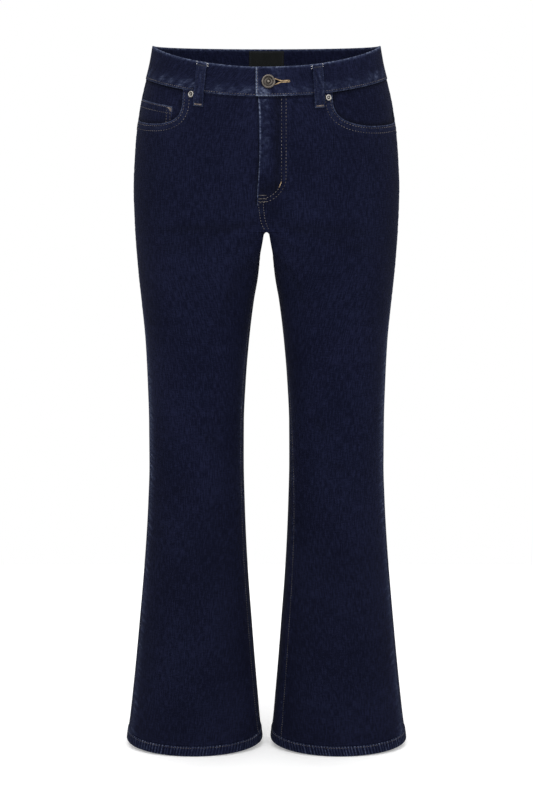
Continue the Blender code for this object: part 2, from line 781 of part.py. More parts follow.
BeltLoop = namedtuple("BeltLoop", "side top bottom")
# Girths of each loop's middle at its top and bottom, in millimetres. The one with
# none is at the centre back.
BELT_LOOPS = {
    "belt_loop_front_left": BeltLoop(LEFT, 69, 72.5),
    "belt_loop_front_right": BeltLoop(RIGHT, 88, 94),
    "belt_loop_side_left": BeltLoop(LEFT, 257, 273),
    "belt_loop_side_right": BeltLoop(RIGHT, 257, 273),
    "belt_loop_back": BeltLoop(LEFT, None, None),
}
LOOP_TOP = WAIST_TOP - 1.5 * MM
LOOP_BOTTOM = WAIST_SEAM - 22.5 * MM


def loop_out(level):
    """A loop's outer face: on the waistband at its top, clear of it in the middle, and
    down on the panel below the seam."""
    on_band = BAND_PROUD * ramp(level, WAIST_SEAM - 5 * MM, WAIST_SEAM - 0.5 * MM)
    ends = ramp(level, LOOP_TOP - 9 * MM, LOOP_TOP - 3 * MM)
    ends = ends + 1 - ramp(level, LOOP_BOTTOM + 4 * MM, LOOP_BOTTOM + 11 * MM)
    gap = LOOP_GAP * (1 - ends) + 0.4 * MM * ends
    return on_band + gap + LOOP_THICK


# Shares of a loop's length, closer together where it leaves the cloth.
LOOP_STOPS = np.array([0, 0.05, 0.16, 0.28, 0.45, 0.62, 0.76, 0.83, 0.92, 1])


def belt_loop(name, loop):
    level = LOOP_TOP - LOOP_STOPS * (LOOP_TOP - LOOP_BOTTOM)
    aside = np.linspace(-LOOP_WIDTH / 2, LOOP_WIDTH / 2, 4)
    if loop.top is None:
        middle = full_girth(loop.side, level)
    else:
        middle = np.interp(level, [LOOP_BOTTOM, LOOP_TOP], [loop.bottom * MM, loop.top * MM])
    girth = middle[:, None] + aside[None, :]
    levels = np.repeat(level[:, None], len(aside), axis=1)
    cloth(name, loop.side, girth, levels, loop_out(levels), LOOP_THICK, denim())


FACING_UNDER = -2.9 * MM  # the facing's face where a front panel covers it
FACING_REACH = 18 * MM
FACING_SHOWN = {LEFT: -0.5 * MM, RIGHT: -1.8 * MM}  # and beside the side seam
FACING_ROWS, FACING_COLUMNS = 9, 10


def facing_out(side, girth, level):
    """The facing dips under the mouth's edge and comes up beside the side seam."""
    mouth = POCKET_MOUTH[side]
    seam = side_seam(side, level)
    in_from_seam = np.clip((seam - girth) / (seam - mouth.start), 0, 1.5)
    down = np.clip((WAIST_SEAM - level) / mouth.drop, 0, 1.5)
    toward_edge = (in_from_seam**mouth.power + down**mouth.power) ** (1 / mouth.power)
    shown = 1 - ramp(toward_edge, 0.45, 0.86)
    return FACING_UNDER + (FACING_SHOWN[side] - FACING_UNDER) * shown


def pocket_facing(name, side):
    mouth = POCKET_MOUTH[side]
    low = WAIST_SEAM - mouth.drop - FACING_REACH
    levels = np.linspace(WAIST_SEAM - SEAM_GAP, low, FACING_ROWS)
    share = np.linspace(0, 1, FACING_COLUMNS)[None, :]
    level = np.repeat(levels[:, None], share.shape[1], axis=1)
    high = side_seam(side, level) - SEAM_GAP / 2
    girth = mouth.start - FACING_REACH + (high - mouth.start + FACING_REACH) * share
    out = facing_out(side, girth, level)
    cloth(name, side, girth, level, out, FACING_THICK, denim())


CoinPocket = namedtuple("CoinPocket", "inner drop_inner drop_side under rows columns")
# Metres: the girth of its free edge, the drops of its top from the waistband at that
# edge and at the side seam, and how far it goes on below the mouth's edge.
COIN_POCKET = CoinPocket(136 * MM, 28 * MM, 27 * MM, 12 * MM, 8, 11)
COIN_THICK = 1.0 * MM
COIN_GAP = 0.35 * MM


def coin_pocket():
    """A patch on the wearer's right facing; the mouth's edge covers its lower end."""
    p = COIN_POCKET
    bottom = WAIST_SEAM - POCKET_MOUTH[RIGHT].drop - p.under
    share = np.linspace(0, 1, p.columns)[None, :]
    top = WAIST_SEAM - p.drop_inner + (p.drop_inner - p.drop_side) * share
    level = np.array([top[0] * (1 - t) + bottom * t for t in np.linspace(0, 1, p.rows)])
    high = side_seam(RIGHT, level) - SEAM_GAP / 2
    girth = p.inner + (high - p.inner) * share
    out = facing_out(RIGHT, girth, level) + COIN_GAP + COIN_THICK
    cloth("coin_pocket", RIGHT, girth, level, out, COIN_THICK, denim())


BackPocket = namedtuple("BackPocket", "top inner_top inner_bottom width bottom_width depth point")
# Millimetres: the level of its top, the distances of its inner edge from the centre,
# its widths along the cloth, and its depth to the corners and to the point below them.
BACK_POCKET = BackPocket(*(x * MM for x in (-106, 46, 53, 132, 112, 118, 17)))
BACK_POCKET_ROWS, BACK_POCKET_COLUMNS = 10, 11
POCKET_OUT = 1.9 * MM
POCKET_SKEW = 6 * MM  # the top's outer corner is higher than its inner one


def behind_at(side, distance, level):
    """The girths of the back where it is a given distance from the centre."""
    angle = np.linspace(np.pi, np.pi / 4, 91)
    away = across(angle[None, :], level[:, None], BACK_PARTS)
    found = np.array([np.interp(distance, row, angle) for row in away])
    return girth_at(side, found, level)


def back_pocket(name, side):
    """A patch with five corners, its top nearly parallel to the yoke seam."""
    p = BACK_POCKET
    share = np.linspace(0, 1, BACK_POCKET_COLUMNS)
    girths, levels = [], []
    for t in np.linspace(0, 1, BACK_POCKET_ROWS):
        width = p.width + (p.bottom_width - p.width) * t
        top = p.top + POCKET_SKEW * (0.5 - share)
        bottom = p.top - p.depth - p.point * (1 - np.abs(2 * share - 1))
        level = top * (1 - t) + bottom * t
        edge = behind_at(side, p.inner_top + (p.inner_bottom - p.inner_top) * t, level)
        levels.append(level)
        girths.append(edge - width * (1 - share))
    cloth(name, side, np.array(girths), np.array(levels), POCKET_OUT, FACING_THICK, denim())


Strip = namedtuple("Strip", "low high top bottom out thick rounded")
# The strips behind the fly, in millimetres: two distances from the centre front, the
# top's drop from the waistband, the bottom's height above the fly's end, how far out
# the strip lies, its thickness, and over what height its far edge curves in.
STRIPS = {
    "fly_shield": Strip(-24, 30, 0.6, 8, -3.7, 1.2, 30),
    "zip": Strip(-9, 21, 12.6, 20, -2.1, 1.0, 0),
    "zip_slider": Strip(2, 10, 1.0, 155, -2.1, 1.0, 0),
}
STRIP_ROW = 15 * MM
STRIP_COLUMNS = 5
STRIP_NARROWS = 0.6  # the share of its width that a rounded strip loses


def fly_strip(name, finish):
    """A strip between two distances from the centre front."""
    strip = STRIPS[name]
    low, high = strip.low * MM, strip.high * MM
    top, bottom = WAIST_SEAM - strip.top * MM, FLY_END + strip.bottom * MM
    levels = levels_between(top, bottom, STRIP_ROW)
    share = np.linspace(0, 1, STRIP_COLUMNS)[None, :]
    edge = np.full((len(levels), 1), high)
    if strip.rounded:
        near_end = ramp(-levels, -bottom - strip.rounded * MM, -bottom)[:, None]
        edge = edge - (high - low) * STRIP_NARROWS * near_end
    girth = low + (edge - low) * share
    level = np.repeat(levels[:, None], STRIP_COLUMNS, axis=1)
    cloth(name, LEFT, girth, level, strip.out * MM, strip.thick * MM, finish)


def closure():
    """The shield and the closed zip behind the flap, and the zip's slider at its top."""
    fly_strip("fly_shield", denim())
    fly_strip("zip", tape_cloth())
    fly_strip("zip_slider", aged_metal())


LABEL_WIDTH = 51 * MM
LABEL_HEIGHT = 32 * MM
LABEL_DROP = 2.5 * MM  # from the waistband's top
LABEL_GAP = 0.4 * MM


def waist_label():
    """Sewn inside the back of the waistband."""
    top = WAIST_TOP - LABEL_DROP
    levels = np.linspace(top, top - LABEL_HEIGHT, 4)[:, None]
    aside = np.linspace(-LABEL_WIDTH / 2, LABEL_WIDTH / 2, 7)[None, :]
    girth = full_girth(LEFT, levels) + aside
    level = np.repeat(levels, aside.shape[1], axis=1)
    out = BAND_PROUD - BAND_THICK - LABEL_GAP
    cloth("waist_label", LEFT, girth, level, out, LABEL_THICK, label_cloth())


def main():
    for old in list(bpy.data.objects):
        bpy.data.objects.remove(old)
    waistband()
    for word, side in (("left", LEFT), ("right", RIGHT)):
        front_panel(f"front_{word}", side)
        back_panel(f"back_{word}", side)
        yoke(f"yoke_{word}", side)
        hem(f"hem_{word}", side)
        pocket_facing(f"pocket_facing_{word}", side)
        back_pocket(f"back_pocket_{word}", side)
    coin_pocket()
    closure()
    waist_label()
    for name, loop in BELT_LOOPS.items():
        belt_loop(name, loop)
    button()
    for name, (side, girth, drop) in RIVETS.items():
        rivet(name, side, girth * MM, WAIST_SEAM - drop * MM)


main()
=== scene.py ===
"""The looks of the bootcut jeans: worn indigo denim shells with puckered seams, sewn
rows of thread, an aged button, rivets and a closed zip, in plain soft studio light.

Every piece of cloth is a patch of one surface, as in the solids: a place is named by
its half of the garment, by its girth (the distance round the body from the centre
front, or from the inseam on a leg) and by its level (its height at the side).
"""

from collections import namedtuple

import bpy
import numpy as np
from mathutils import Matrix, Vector


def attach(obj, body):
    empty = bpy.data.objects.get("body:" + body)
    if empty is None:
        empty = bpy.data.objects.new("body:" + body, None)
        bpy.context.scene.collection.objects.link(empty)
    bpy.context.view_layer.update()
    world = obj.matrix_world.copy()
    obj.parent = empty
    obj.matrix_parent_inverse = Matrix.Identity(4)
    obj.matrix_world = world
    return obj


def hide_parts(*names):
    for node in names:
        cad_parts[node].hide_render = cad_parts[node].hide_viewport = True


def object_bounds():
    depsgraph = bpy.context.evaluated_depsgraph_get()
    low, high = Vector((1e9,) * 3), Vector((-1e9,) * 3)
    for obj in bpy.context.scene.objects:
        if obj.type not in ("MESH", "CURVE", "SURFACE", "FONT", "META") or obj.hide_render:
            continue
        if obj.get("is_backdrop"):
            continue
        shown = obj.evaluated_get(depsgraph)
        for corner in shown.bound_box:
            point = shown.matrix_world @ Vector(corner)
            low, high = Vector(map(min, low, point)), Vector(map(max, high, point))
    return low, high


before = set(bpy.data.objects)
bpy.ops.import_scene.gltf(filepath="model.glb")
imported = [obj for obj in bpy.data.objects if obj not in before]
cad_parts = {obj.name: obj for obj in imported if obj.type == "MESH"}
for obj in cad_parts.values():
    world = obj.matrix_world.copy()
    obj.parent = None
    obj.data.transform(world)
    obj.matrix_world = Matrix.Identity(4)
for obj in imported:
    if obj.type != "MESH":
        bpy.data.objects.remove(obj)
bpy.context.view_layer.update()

MM = 0.001
LEFT, RIGHT = 1, -1  # the wearer's sides, which are also the signs of X
# Levels, measured at the side.
WAIST_TOP = 22.2 * MM
WAIST_SEAM = -23 * MM
POCKET_ZONE = -125 * MM  # below this level a front panel's rows are level
CROTCH = -231.5 * MM
HEM_EDGE = -983 * MM
HEM_HEIGHT = 14 * MM
# Cloth.
DENIM = 1.2 * MM
BAND_THICK = 2.4 * MM  # the waistband is two layers
HEM_THICK = 3.0 * MM  # the hem is three
LOOP_THICK = 1.8 * MM
FACING_THICK = 1.1 * MM
LABEL_THICK = 0.8 * MM
BAND_PROUD = 0.9 * MM  # how far the waistband and hems stand out of the panels
HEM_PROUD = 0.8 * MM
SEAM_GAP = 0.04 * MM  # between pieces sewn together, whose rounded edges close it

# Closure at the centre front: the wearer's left side laps over the right.
TAB_PAST = 14 * MM  # how far the waistband's tab goes past the centre
TAB_FLAT = 30 * MM  # up to here the tab lies on the underlap
TAB_RISE = 2.2 * MM
TAB_DOWN = 60 * MM
UNDERLAP = 26 * MM
UNDERLAP_SINK = 0.6 * MM
FLAP_RISE = 1.6 * MM
FLAP_FLAT = 2 * MM
FLAP_DOWN = 30 * MM
FLY_END = -190 * MM
FLY_UNDER = 1 * MM  # the right front's edge under the flap, from the centre

BUTTON_GIRTH = 2.5 * MM
BUTTON_LEVEL = -1.2 * MM
BUTTON_RADIUS = 9.5 * MM
SHANK_RADIUS = 2.4 * MM
BUTTONHOLE_END = 25 * MM
SLIT_HALF = 0.6 * MM
RIVET_RADIUS = 4.5 * MM

LOOP_WIDTH = 14 * MM
LOOP_GAP = 2.4 * MM

Section = namedtuple("Section", "level outer inner front side back fork")
# Millimetres. level; half-width to the outside; half the gap between the legs; the
# depths of the front, the side and the back; and the depth of the innermost line of
# the leg, which starts at the crotch.
SECTIONS = [
    Section(22.2, 158.2, 0, -103, 0, 104, 0),
    Section(0, 162.2, 0, -107, 0, 106, 0),
    Section(-24.5, 168.2, 0, -112, 0, 110, 0),
    Section(-52, 174.9, 0, -116, 0, 115, 0),
    Section(-80, 179.8, 0, -118, 0, 121, 0),
    Section(-107, 183.2, 0, -119, 1, 127, -4),
    Section(-135, 185.4, 0, -118, 1, 132, -14),
    Section(-177, 187.3, 0, -115, 2, 136, -28),
    Section(-205, 186.8, 0, -112, 2, 133, -37),
    Section(-231.5, 185.7, 0, -109.5, 2, 124, -40),
    Section(-234.4, 185.6, 2.6, -109, 2, 122.5, -40),
    Section(-245, 185.0, 4.1, -108, 1, 118.5, -37),
    Section(-276, 182.8, 8.4, -105, 0, 105, -28),
    Section(-304.6, 180.2, 12.8, -101, -2, 93, -20),
    Section(-333, 177.2, 17.8, -98, -4, 84, -14),
    Section(-390, 171.8, 24.7, -93, -8, 70, -12),
    Section(-448, 169.1, 29.5, -89, -12, 60, -13),
    Section(-506, 167.6, 32.2, -85, -15, 53, -15),
    Section(-564, 167.7, 32.5, -80, -14, 52, -14),
    Section(-623, 170.2, 31.3, -74, -9, 56, -9),
    Section(-682, 174.2, 29.2, -69, -4, 61, -4),
    Section(-741.7, 179.5, 25.9, -64, 1, 66, 1),
    Section(-801.6, 185.4, 21.6, -59, 6, 71, 6),
    Section(-862, 191.6, 17.2, -54, 11, 76, 11),
    Section(-922.5, 198.4, 12.4, -49, 16, 81, 16),
    Section(-950, 201.8, 10.2, -47, 18, 84, 18),
    Section(-983, 206.6, 6.6, -44.5, 20.5, 86.5, 20.5),
]

Lean = namedtuple("Lean", "level dip power tilt turn_left turn_right forward")
# How rows and seams lean. dip, in millimetres: the row's drop at the centre front.
# power: how near the front the drop is felt. tilt: the row's drop towards the front as
# a share of depth. The turns, in degrees: how far each leg's inseam has come forward;
# forward: the same for the side seam.
LEANS = [
    Lean(22.2, 32.5, 1.45, 0.00, 0, 0, 2),
    Lean(-24.5, 26.0, 1.60, 0.00, 0, 0, 2),
    Lean(-80, 14.5, 1.50, 0.00, 0, 0, 2),
    Lean(-150, 3.0, 1.35, 0.00, 0, 0, 3),
    Lean(-200, 0.0, 1.35, 0.00, 0, 0, 4),
    Lean(-231.5, 0.0, 1.35, 0.00, 0, 0, 5),
    Lean(-276, 0.0, 1.35, 0.00, 4, 6, 7),
    Lean(-333, 0.0, 1.35, 0.00, 7, 12, 10),
    Lean(-448, 0.0, 1.35, 0.01, 12, 17, 14),
    Lean(-530, 0.0, 1.35, 0.02, 18, 18, 15),
    Lean(-600, 0.0, 1.35, 0.03, 24, 18, 16),
    Lean(-660, 0.0, 1.35, 0.05, 27, 18, 16),
    Lean(-800, 0.0, 1.35, 0.09, 28, 18, 16),
    Lean(-900, 0.0, 1.35, 0.12, 28, 17, 16),
    Lean(-983, 0.0, 1.35, 0.155, 28, 14, 16),
]

# The centre front seam and the fly's edge, millimetres to the wearer's right.
Edge = namedtuple("Edge", "level across")
FLY_EDGE = [
    Edge(-24.5, 10.9),
    Edge(-50, 8.8),
    Edge(-90, 8.4),
    Edge(-140, 10.0),
    Edge(-190, 12.6),
    Edge(-213, 10.0),
    Edge(-224, 7.0),
    Edge(-231.5, 0.0),
]

# Where the front and the back start to part into two legs, above the crotch.
FRONT_PARTS = -118 * MM
BACK_PARTS = -72 * MM
PARTED = -300 * MM  # below the crotch, where the outsides have parted too
PARTING_POWER = 1.35
CREASE = np.radians(122)  # how far round from the side the slower parting reaches
FORK_NARROW = 4  # how near the fork the gap between the legs is felt at the crotch
FORK_ROUND = 7 * MM  # how softly a leg turns into its inner wall, just below the crotch
BULGE_POWER = 0.90  # below 1, the front and back are a little flatter than an oval
FORK_POWER = 3  # how near the innermost line the fork's depth is felt
HALF_LEG_GAP = 0.01 * MM  # the halves meet at the centre-back seam and the crotch

Fold = namedtuple("Fold", "side angle level lean length width depth")
# Soft folds. angle is the place round the half in degrees: 0 at the side, -90 in front
# and 90 behind. lean is the run's lean from the vertical in degrees. Millimetres for
# length, width and depth; a positive depth is a trough. Drag lines at the crotch, the
# knees, the seat and the backs of the knees and calves.
FOLDS = [
    Fold(LEFT, -112, -214, 58, 44, 12, 1.8),
    Fold(RIGHT, -108, -208, 54, 40, 12, 1.6),
    Fold(LEFT, -78, -186, 68, 50, 15, 1.1),
    Fold(RIGHT, -84, -172, 72, 44, 14, 1.0),
    Fold(LEFT, -96, -476, 28, 60, 17, 1.8),
    Fold(LEFT, -60, -545, 40, 46, 16, -1.2),
    Fold(RIGHT, -82, -560, 66, 44, 15, 1.5),
    Fold(RIGHT, -112, -610, 52, 50, 16, -1.1),
    Fold(LEFT, -88, -790, 12, 120, 22, 1.4),
    Fold(RIGHT, -94, -820, 8, 110, 22, 1.2),
    Fold(LEFT, 128, -262, 76, 56, 13, 3.0),
    Fold(RIGHT, 130, -258, 74, 60, 13, 2.8),
    Fold(LEFT, 104, -296, 68, 46, 14, 2.2),
    Fold(RIGHT, 108, -288, 66, 50, 14, 2.4),
    Fold(LEFT, 96, -520, 80, 44, 12, 2.8),
    Fold(RIGHT, 90, -528, 82, 46, 12, 3.0),
    Fold(LEFT, 76, -560, 70, 42, 13, 2.4),
    Fold(RIGHT, 82, -566, 72, 40, 13, 2.2),
    Fold(LEFT, 84, -830, 6, 110, 20, 2.0),
    Fold(RIGHT, 92, -850, 8, 100, 20, 1.8),
]

# Finer creases, which the cloth alone shows; the cloth's colour also gets painted
# shade in their troughs.
CREASES = [
    Fold(LEFT, -104, -196, 40, 30, 6, 0.6),
    Fold(LEFT, -98, -228, 62, 34, 6, 0.7),
    Fold(RIGHT, -100, -222, 60, 32, 6, 0.7),
    Fold(RIGHT, -96, -192, 48, 26, 5, 0.5),
    Fold(LEFT, -118, -246, 48, 28, 6, 0.7),
    Fold(RIGHT, -120, -240, 44, 30, 6, 0.6),
    Fold(LEFT, -72, -229, 84, 40, 7, 0.9),
    Fold(RIGHT, -74, -226, 86, 46, 7, 1.0),
    Fold(LEFT, -62, -250, 78, 36, 8, 0.5),
    Fold(RIGHT, -60, -252, 80, 38, 8, 0.5),
    Fold(LEFT, -132, -300, 28, 46, 9, 0.7),
    Fold(RIGHT, -128, -310, 24, 50, 9, 0.7),
    Fold(LEFT, -112, -500, 62, 22, 8, 0.6),
    Fold(LEFT, -90, -560, 70, 26, 8, 0.5),
    Fold(RIGHT, -108, -520, -60, 24, 8, 0.6),
    Fold(RIGHT, -74, -590, 68, 26, 8, 0.5),
    Fold(LEFT, 118, -490, 80, 26, 7, 0.9),
    Fold(RIGHT, 112, -500, 82, 28, 7, 0.9),
    Fold(LEFT, 60, -590, 66, 24, 8, 0.8),
    Fold(RIGHT, 64, -600, 68, 26, 8, 0.8),
    Fold(LEFT, 140, -246, 80, 26, 7, 1.0),
    Fold(RIGHT, 142, -240, 78, 28, 7, 1.0),
]

FOLD_RADIUS = 95 * MM  # turns an angle into a distance round the half


def smooth(knots, values):
    """A curve through points, with no overshoot between them."""
    order = np.argsort(knots)
    x = np.asarray(knots, float)[order]
    y = np.asarray(values, float)[order]
    step = np.diff(x)
    slope = np.diff(y) / step
    same_way = slope[1:] * slope[:-1] > 0
    product = np.where(same_way, slope[1:] * slope[:-1], 0)
    total = np.where(same_way, slope[1:] + slope[:-1], 1)
    tangent = np.concatenate([slope[:1], 2 * product / total, slope[-1:]])

    def at(q):
        q = np.clip(q, x[0], x[-1])
        i = np.clip(np.searchsorted(x, q) - 1, 0, len(x) - 2)
        t = (q - x[i]) / step[i]
        start = (1 + 2 * t) * (1 - t) ** 2 * y[i] + t * (1 - t) ** 2 * step[i] * tangent[i]
        end = t**2 * (3 - 2 * t) * y[i + 1] + t**2 * (t - 1) * step[i] * tangent[i + 1]
        return start + end

    return at


def column(rows, name, unit=MM):
    levels = [row.level * MM for row in rows]
    return smooth(levels, [getattr(row, name) * unit for row in rows])


def ramp(x, low, high):
    """0 below low, 1 above high, and smooth between."""
    t = np.clip((x - low) / (high - low), 0, 1)
    return t * t * (3 - 2 * t)


def bell(x, width, centre=0.0):
    """1 at the centre, falling off smoothly within about a width of it."""
    return np.exp(-(((x - centre) / width) ** 2))


def unit(vector):
    """The same direction, with a length of 1."""
    return vector / np.maximum(np.linalg.norm(vector, axis=-1, keepdims=True), 1e-9)


def run_along(points):
    """How far along a path each of its points lies."""
    steps = np.linalg.norm(np.diff(points, axis=0), axis=-1)
    return np.concatenate([[0], np.cumsum(steps)])


def read_path(where, run, points):
    """The points at given distances along a path."""
    return np.stack([np.interp(where, run, points[:, k]) for k in range(3)], axis=-1)


outer, inner, front, side_depth, back, fork = (
    column(SECTIONS, name) for name in ("outer", "inner", "front", "side", "back", "fork")
)
dip = column(LEANS, "dip")
dip_power = column(LEANS, "power", 1)
tilt = column(LEANS, "tilt", 1)
forward = column(LEANS, "forward", np.pi / 180)
turn = {
    LEFT: column(LEANS, "turn_left", np.pi / 180),
    RIGHT: column(LEANS, "turn_right", np.pi / 180),
}
fly_edge = column(FLY_EDGE, "across")


def parting(angle, level, start):
    """0 where the body is one oval, 1 where it is two. The centre parts at the crotch,
    and the outsides more slowly."""
    centre = np.clip((start - level) / (start - CROTCH), 0, 1) ** PARTING_POWER
    outside = ramp(-level, -start, -PARTED)
    return outside + (centre - outside) * ramp(np.abs(angle), CREASE, np.pi)


def toward_fork(angle):
    """0 at the side and 1 at the fork, the innermost line of a leg."""
    return (1 - np.cos(angle)) / 2


def across(angle, level, start):
    """The distance from the garment's centre. A leg keeps clear of the other one all the
    way along its inner wall."""
    middle = parting(angle, level, start) * outer(level) / 2
    narrow = 1 + (FORK_NARROW - 1) * ramp(level, PARTED, CROTCH)
    gap = inner(level) * toward_fork(angle) ** narrow
    oval = middle + (outer(level) - middle) * np.cos(angle) + gap
    round_off = FORK_ROUND * ramp(level, PARTED, CROTCH)
    wall = (oval + inner(level) + np.hypot(oval - inner(level), round_off)) / 2
    return np.where(level < CROTCH, wall, oval)


def end_angle(level, start):
    """The angle from a half's side to the garment's centre, or to the fork of a leg."""
    level = np.asarray(level, float)
    low, high = np.full(level.shape, np.pi / 2), np.full(level.shape, np.pi)
    for _ in range(26):
        middle = (low + high) / 2
        before = across(middle, level, start) > 0
        low, high = np.where(before, middle, low), np.where(before, high, middle)
    return high


def span(side, level):
    """The angles of a section's two ends. 0 is the side, and the front is below 0."""
    lead = turn[side](level)
    return lead - end_angle(level, FRONT_PARTS), lead + end_angle(level, BACK_PARTS)


def at_angle(side, angle, level):
    """A point of the surface, from its angle round the half and its level."""
    angle = np.where(angle > np.pi, angle - 2 * np.pi, angle)
    ahead = angle < 0
    start = np.where(ahead, FRONT_PARTS, BACK_PARTS)
    side_y = side_depth(level)
    depth = np.where(ahead, side_y - front(level), back(level) - side_y)
    y = side_y + depth * np.sign(angle) * np.abs(np.sin(angle)) ** BULGE_POWER
    forked = parting(angle, level, start) * toward_fork(angle) ** FORK_POWER
    y = y + (fork(level) - side_y) * forked
    facing = np.clip(-np.sin(angle), 0, 1) ** dip_power(level)
    z = level - dip(level) * facing + tilt(level) * (y - side_y)
    return np.stack([side * (across(angle, level, start) + HALF_LEG_GAP), y, z], axis=-1)


FINE = np.linspace(0, 1, 241)
NEAR_CROTCH = np.array([0.1, 0.25, 0.5, 1, 1.7, 2.5, 3.5]) * MM
LEVELS = np.unique(np.concatenate([
    np.arange(HEM_EDGE, WAIST_TOP, 5 * MM),
    CROTCH - NEAR_CROTCH,
    CROTCH + NEAR_CROTCH,
    [CROTCH, WAIST_TOP],
]))


def girth_tables(side):
    """The girth along each level's section, and the angle at each share of it."""
    first, last = span(side, LEVELS)
    angles = first[:, None] + (last - first)[:, None] * FINE[None, :]
    points = at_angle(side, angles, LEVELS[:, None])
    steps = np.linalg.norm(np.diff(points, axis=1), axis=-1)
    along = np.concatenate([np.zeros((len(LEVELS), 1)), np.cumsum(steps, axis=1)], axis=1)
    rows = zip(along, angles)
    return angles, along, np.array([np.interp(FINE, a / a[-1], turned) for a, turned in rows])


TABLES = {side: girth_tables(side) for side in (LEFT, RIGHT)}
ANGLES, ALONG, AT_SHARE = ({side: TABLES[side][k] for side in TABLES} for k in range(3))


def between(table, level, share):
    """Reads a table with a row for each of LEVELS and a column for each of FINE."""
    i = np.clip(np.searchsorted(LEVELS, level) - 1, 0, len(LEVELS) - 2)
    t = (level - LEVELS[i]) / (LEVELS[i + 1] - LEVELS[i])
    k = np.clip(share, 0, 1) * (len(FINE) - 1)
    j = np.clip(k.astype(int), 0, len(FINE) - 2)
    u = k - j
    low = table[i, j] * (1 - u) + table[i, j + 1] * u
    high = table[i + 1, j] * (1 - u) + table[i + 1, j + 1] * u
    return low * (1 - t) + high * t


def full_girth(side, level):
    return np.interp(level, LEVELS, ALONG[side][:, -1])


def girth_at(side, angle, level):
    """The girth at which an angle lies."""
    first = np.interp(level, LEVELS, ANGLES[side][:, 0])
    last = np.interp(level, LEVELS, ANGLES[side][:, -1])
    return between(ALONG[side], level, (angle - first) / (last - first))


def side_seam(side, level):
    """The girth of the side seam."""
    level = np.asarray(level, float)
    return girth_at(side, -forward(level), level)


def locate(side, girth, level):
    """The half and the angle of a place. Above the crotch a girth below 0 or past the
    centre back is on the other half; on a leg it goes on round the leg."""
    whole = full_girth(side, level)
    torso = level > CROTCH
    crossed = torso & ((girth < 0) | (girth > whole))
    folded = np.where(girth < 0, -girth, 2 * whole - girth)
    share = np.where(torso, np.where(crossed, folded, girth), girth % whole) / whole
    here, there = (between(AT_SHARE[half], level, share) for half in (side, -side))
    return np.where(crossed, -side, side), np.where(crossed, there, here)


def fold_depth(folds, half, angle, level):
    """How far the folds sink the cloth."""
    total = np.zeros(np.shape(angle))
    for fold in folds:
        off = angle - np.radians(fold.angle)
        away = ((off + np.pi) % (2 * np.pi) - np.pi) * FOLD_RADIUS
        down = fold.level * MM - level
        lean = np.radians(fold.lean)
        along_run = away * np.sin(lean) + down * np.cos(lean)
        off_run = away * np.cos(lean) - down * np.sin(lean)
        shape = bell(off_run, fold.width * MM) * bell(along_run, fold.length * MM)
        total = total + np.where(half == fold.side, fold.depth * MM * shape, 0)
    return total


ANGLE_STEP, LEVEL_STEP = np.radians(0.8), 1.5 * MM  # half the steps of a slope


def surface(side, girth, level, out=0.0):
    """Points of the garment's outer surface, moved out along its normal."""
    girth, level, out = np.broadcast_arrays(
        np.asarray(girth, float), np.asarray(level, float), np.asarray(out, float)
    )
    half, angle = locate(side, girth, level)
    round_it = at_angle(half, angle + ANGLE_STEP, level) - at_angle(half, angle - ANGLE_STEP, level)
    up_it = at_angle(half, angle, level + LEVEL_STEP) - at_angle(half, angle, level - LEVEL_STEP)
    normal = unit(half[..., None] * np.cross(round_it, up_it))
    point = at_angle(half, angle, level)
    point[..., 0] = half * np.maximum(half * point[..., 0], HALF_LEG_GAP)
    moved = out - fold_depth(FOLDS, half, angle, level)
    return point + moved[..., None] * normal


def with_normal(side, girth, level, out):
    """Points of the surface, and the millimetre from each straight out of the cloth."""
    point = surface(side, girth, level, out)
    return point, surface(side, girth, level, out + MM) - point


# Pieces of the pattern, as places on the surface.
EVEN_TOP, EVEN_BOTTOM = -150 * MM, -310 * MM
GATHER_POWER = 6


def panel_girth(side, level, edge, reach, gap):
    """Girths across a leg panel, from the side seam (reach 0) to its edge (reach 1).
    Where the panel turns under at the crotch, its inner columns take up the turn."""
    level = np.asarray(level, float)

    def width(at):
        at = np.asarray(at, float)
        return edge(side, at) - side_seam(side, at) - gap

    t = np.clip((EVEN_TOP - level) / (EVEN_TOP - EVEN_BOTTOM), 0, 1)
    even = width(EVEN_TOP) * (1 - t) + width(EVEN_BOTTOM) * t
    even = np.where((t > 0) & (t < 1), even, width(level))
    extra = width(level) - even
    return side_seam(side, level) + gap + even * reach + extra * reach**GATHER_POWER


def back_edge(side, level):
    return full_girth(side, level) - SEAM_GAP / 2


PocketMouth = namedtuple("PocketMouth", "start drop power rise")
# The girth where the curved mouth leaves the waistband, its drop, how square its corner
# is, and how much its lower edge rises again toward the side seam. Lengths in metres.
POCKET_MOUTH = {
    LEFT: PocketMouth(91 * MM, 63 * MM, 3.2, 4.0 * MM),
    RIGHT: PocketMouth(118 * MM, 59 * MM, 4.0, 2.0 * MM),
}


def squarish(power, count):
    """Shares along a corner's curve that are evenly spaced, from 0 to 1."""
    turn_by = np.linspace(0, np.pi / 2, 400)
    a, b = np.sin(turn_by) ** (2 / power), np.cos(turn_by) ** (2 / power)
    along = run_along(np.stack([a, b], axis=-1))
    return np.interp(np.linspace(0, along[-1], count), along, a)


MOUTH_POINTS = 64


def mouth_curve(side):
    """The pocket mouth from the side seam to the waistband, as girths and levels."""
    mouth = POCKET_MOUTH[side]
    stops = squarish(mouth.power, MOUTH_POINTS)
    down = (1 - stops**mouth.power) ** (1 / mouth.power)
    level = WAIST_SEAM - SEAM_GAP - mouth.drop * down + mouth.rise * (1 - stops) ** 2
    seam = side_seam(side, level) - SEAM_GAP / 2
    return seam - (seam - mouth.start) * stops, level


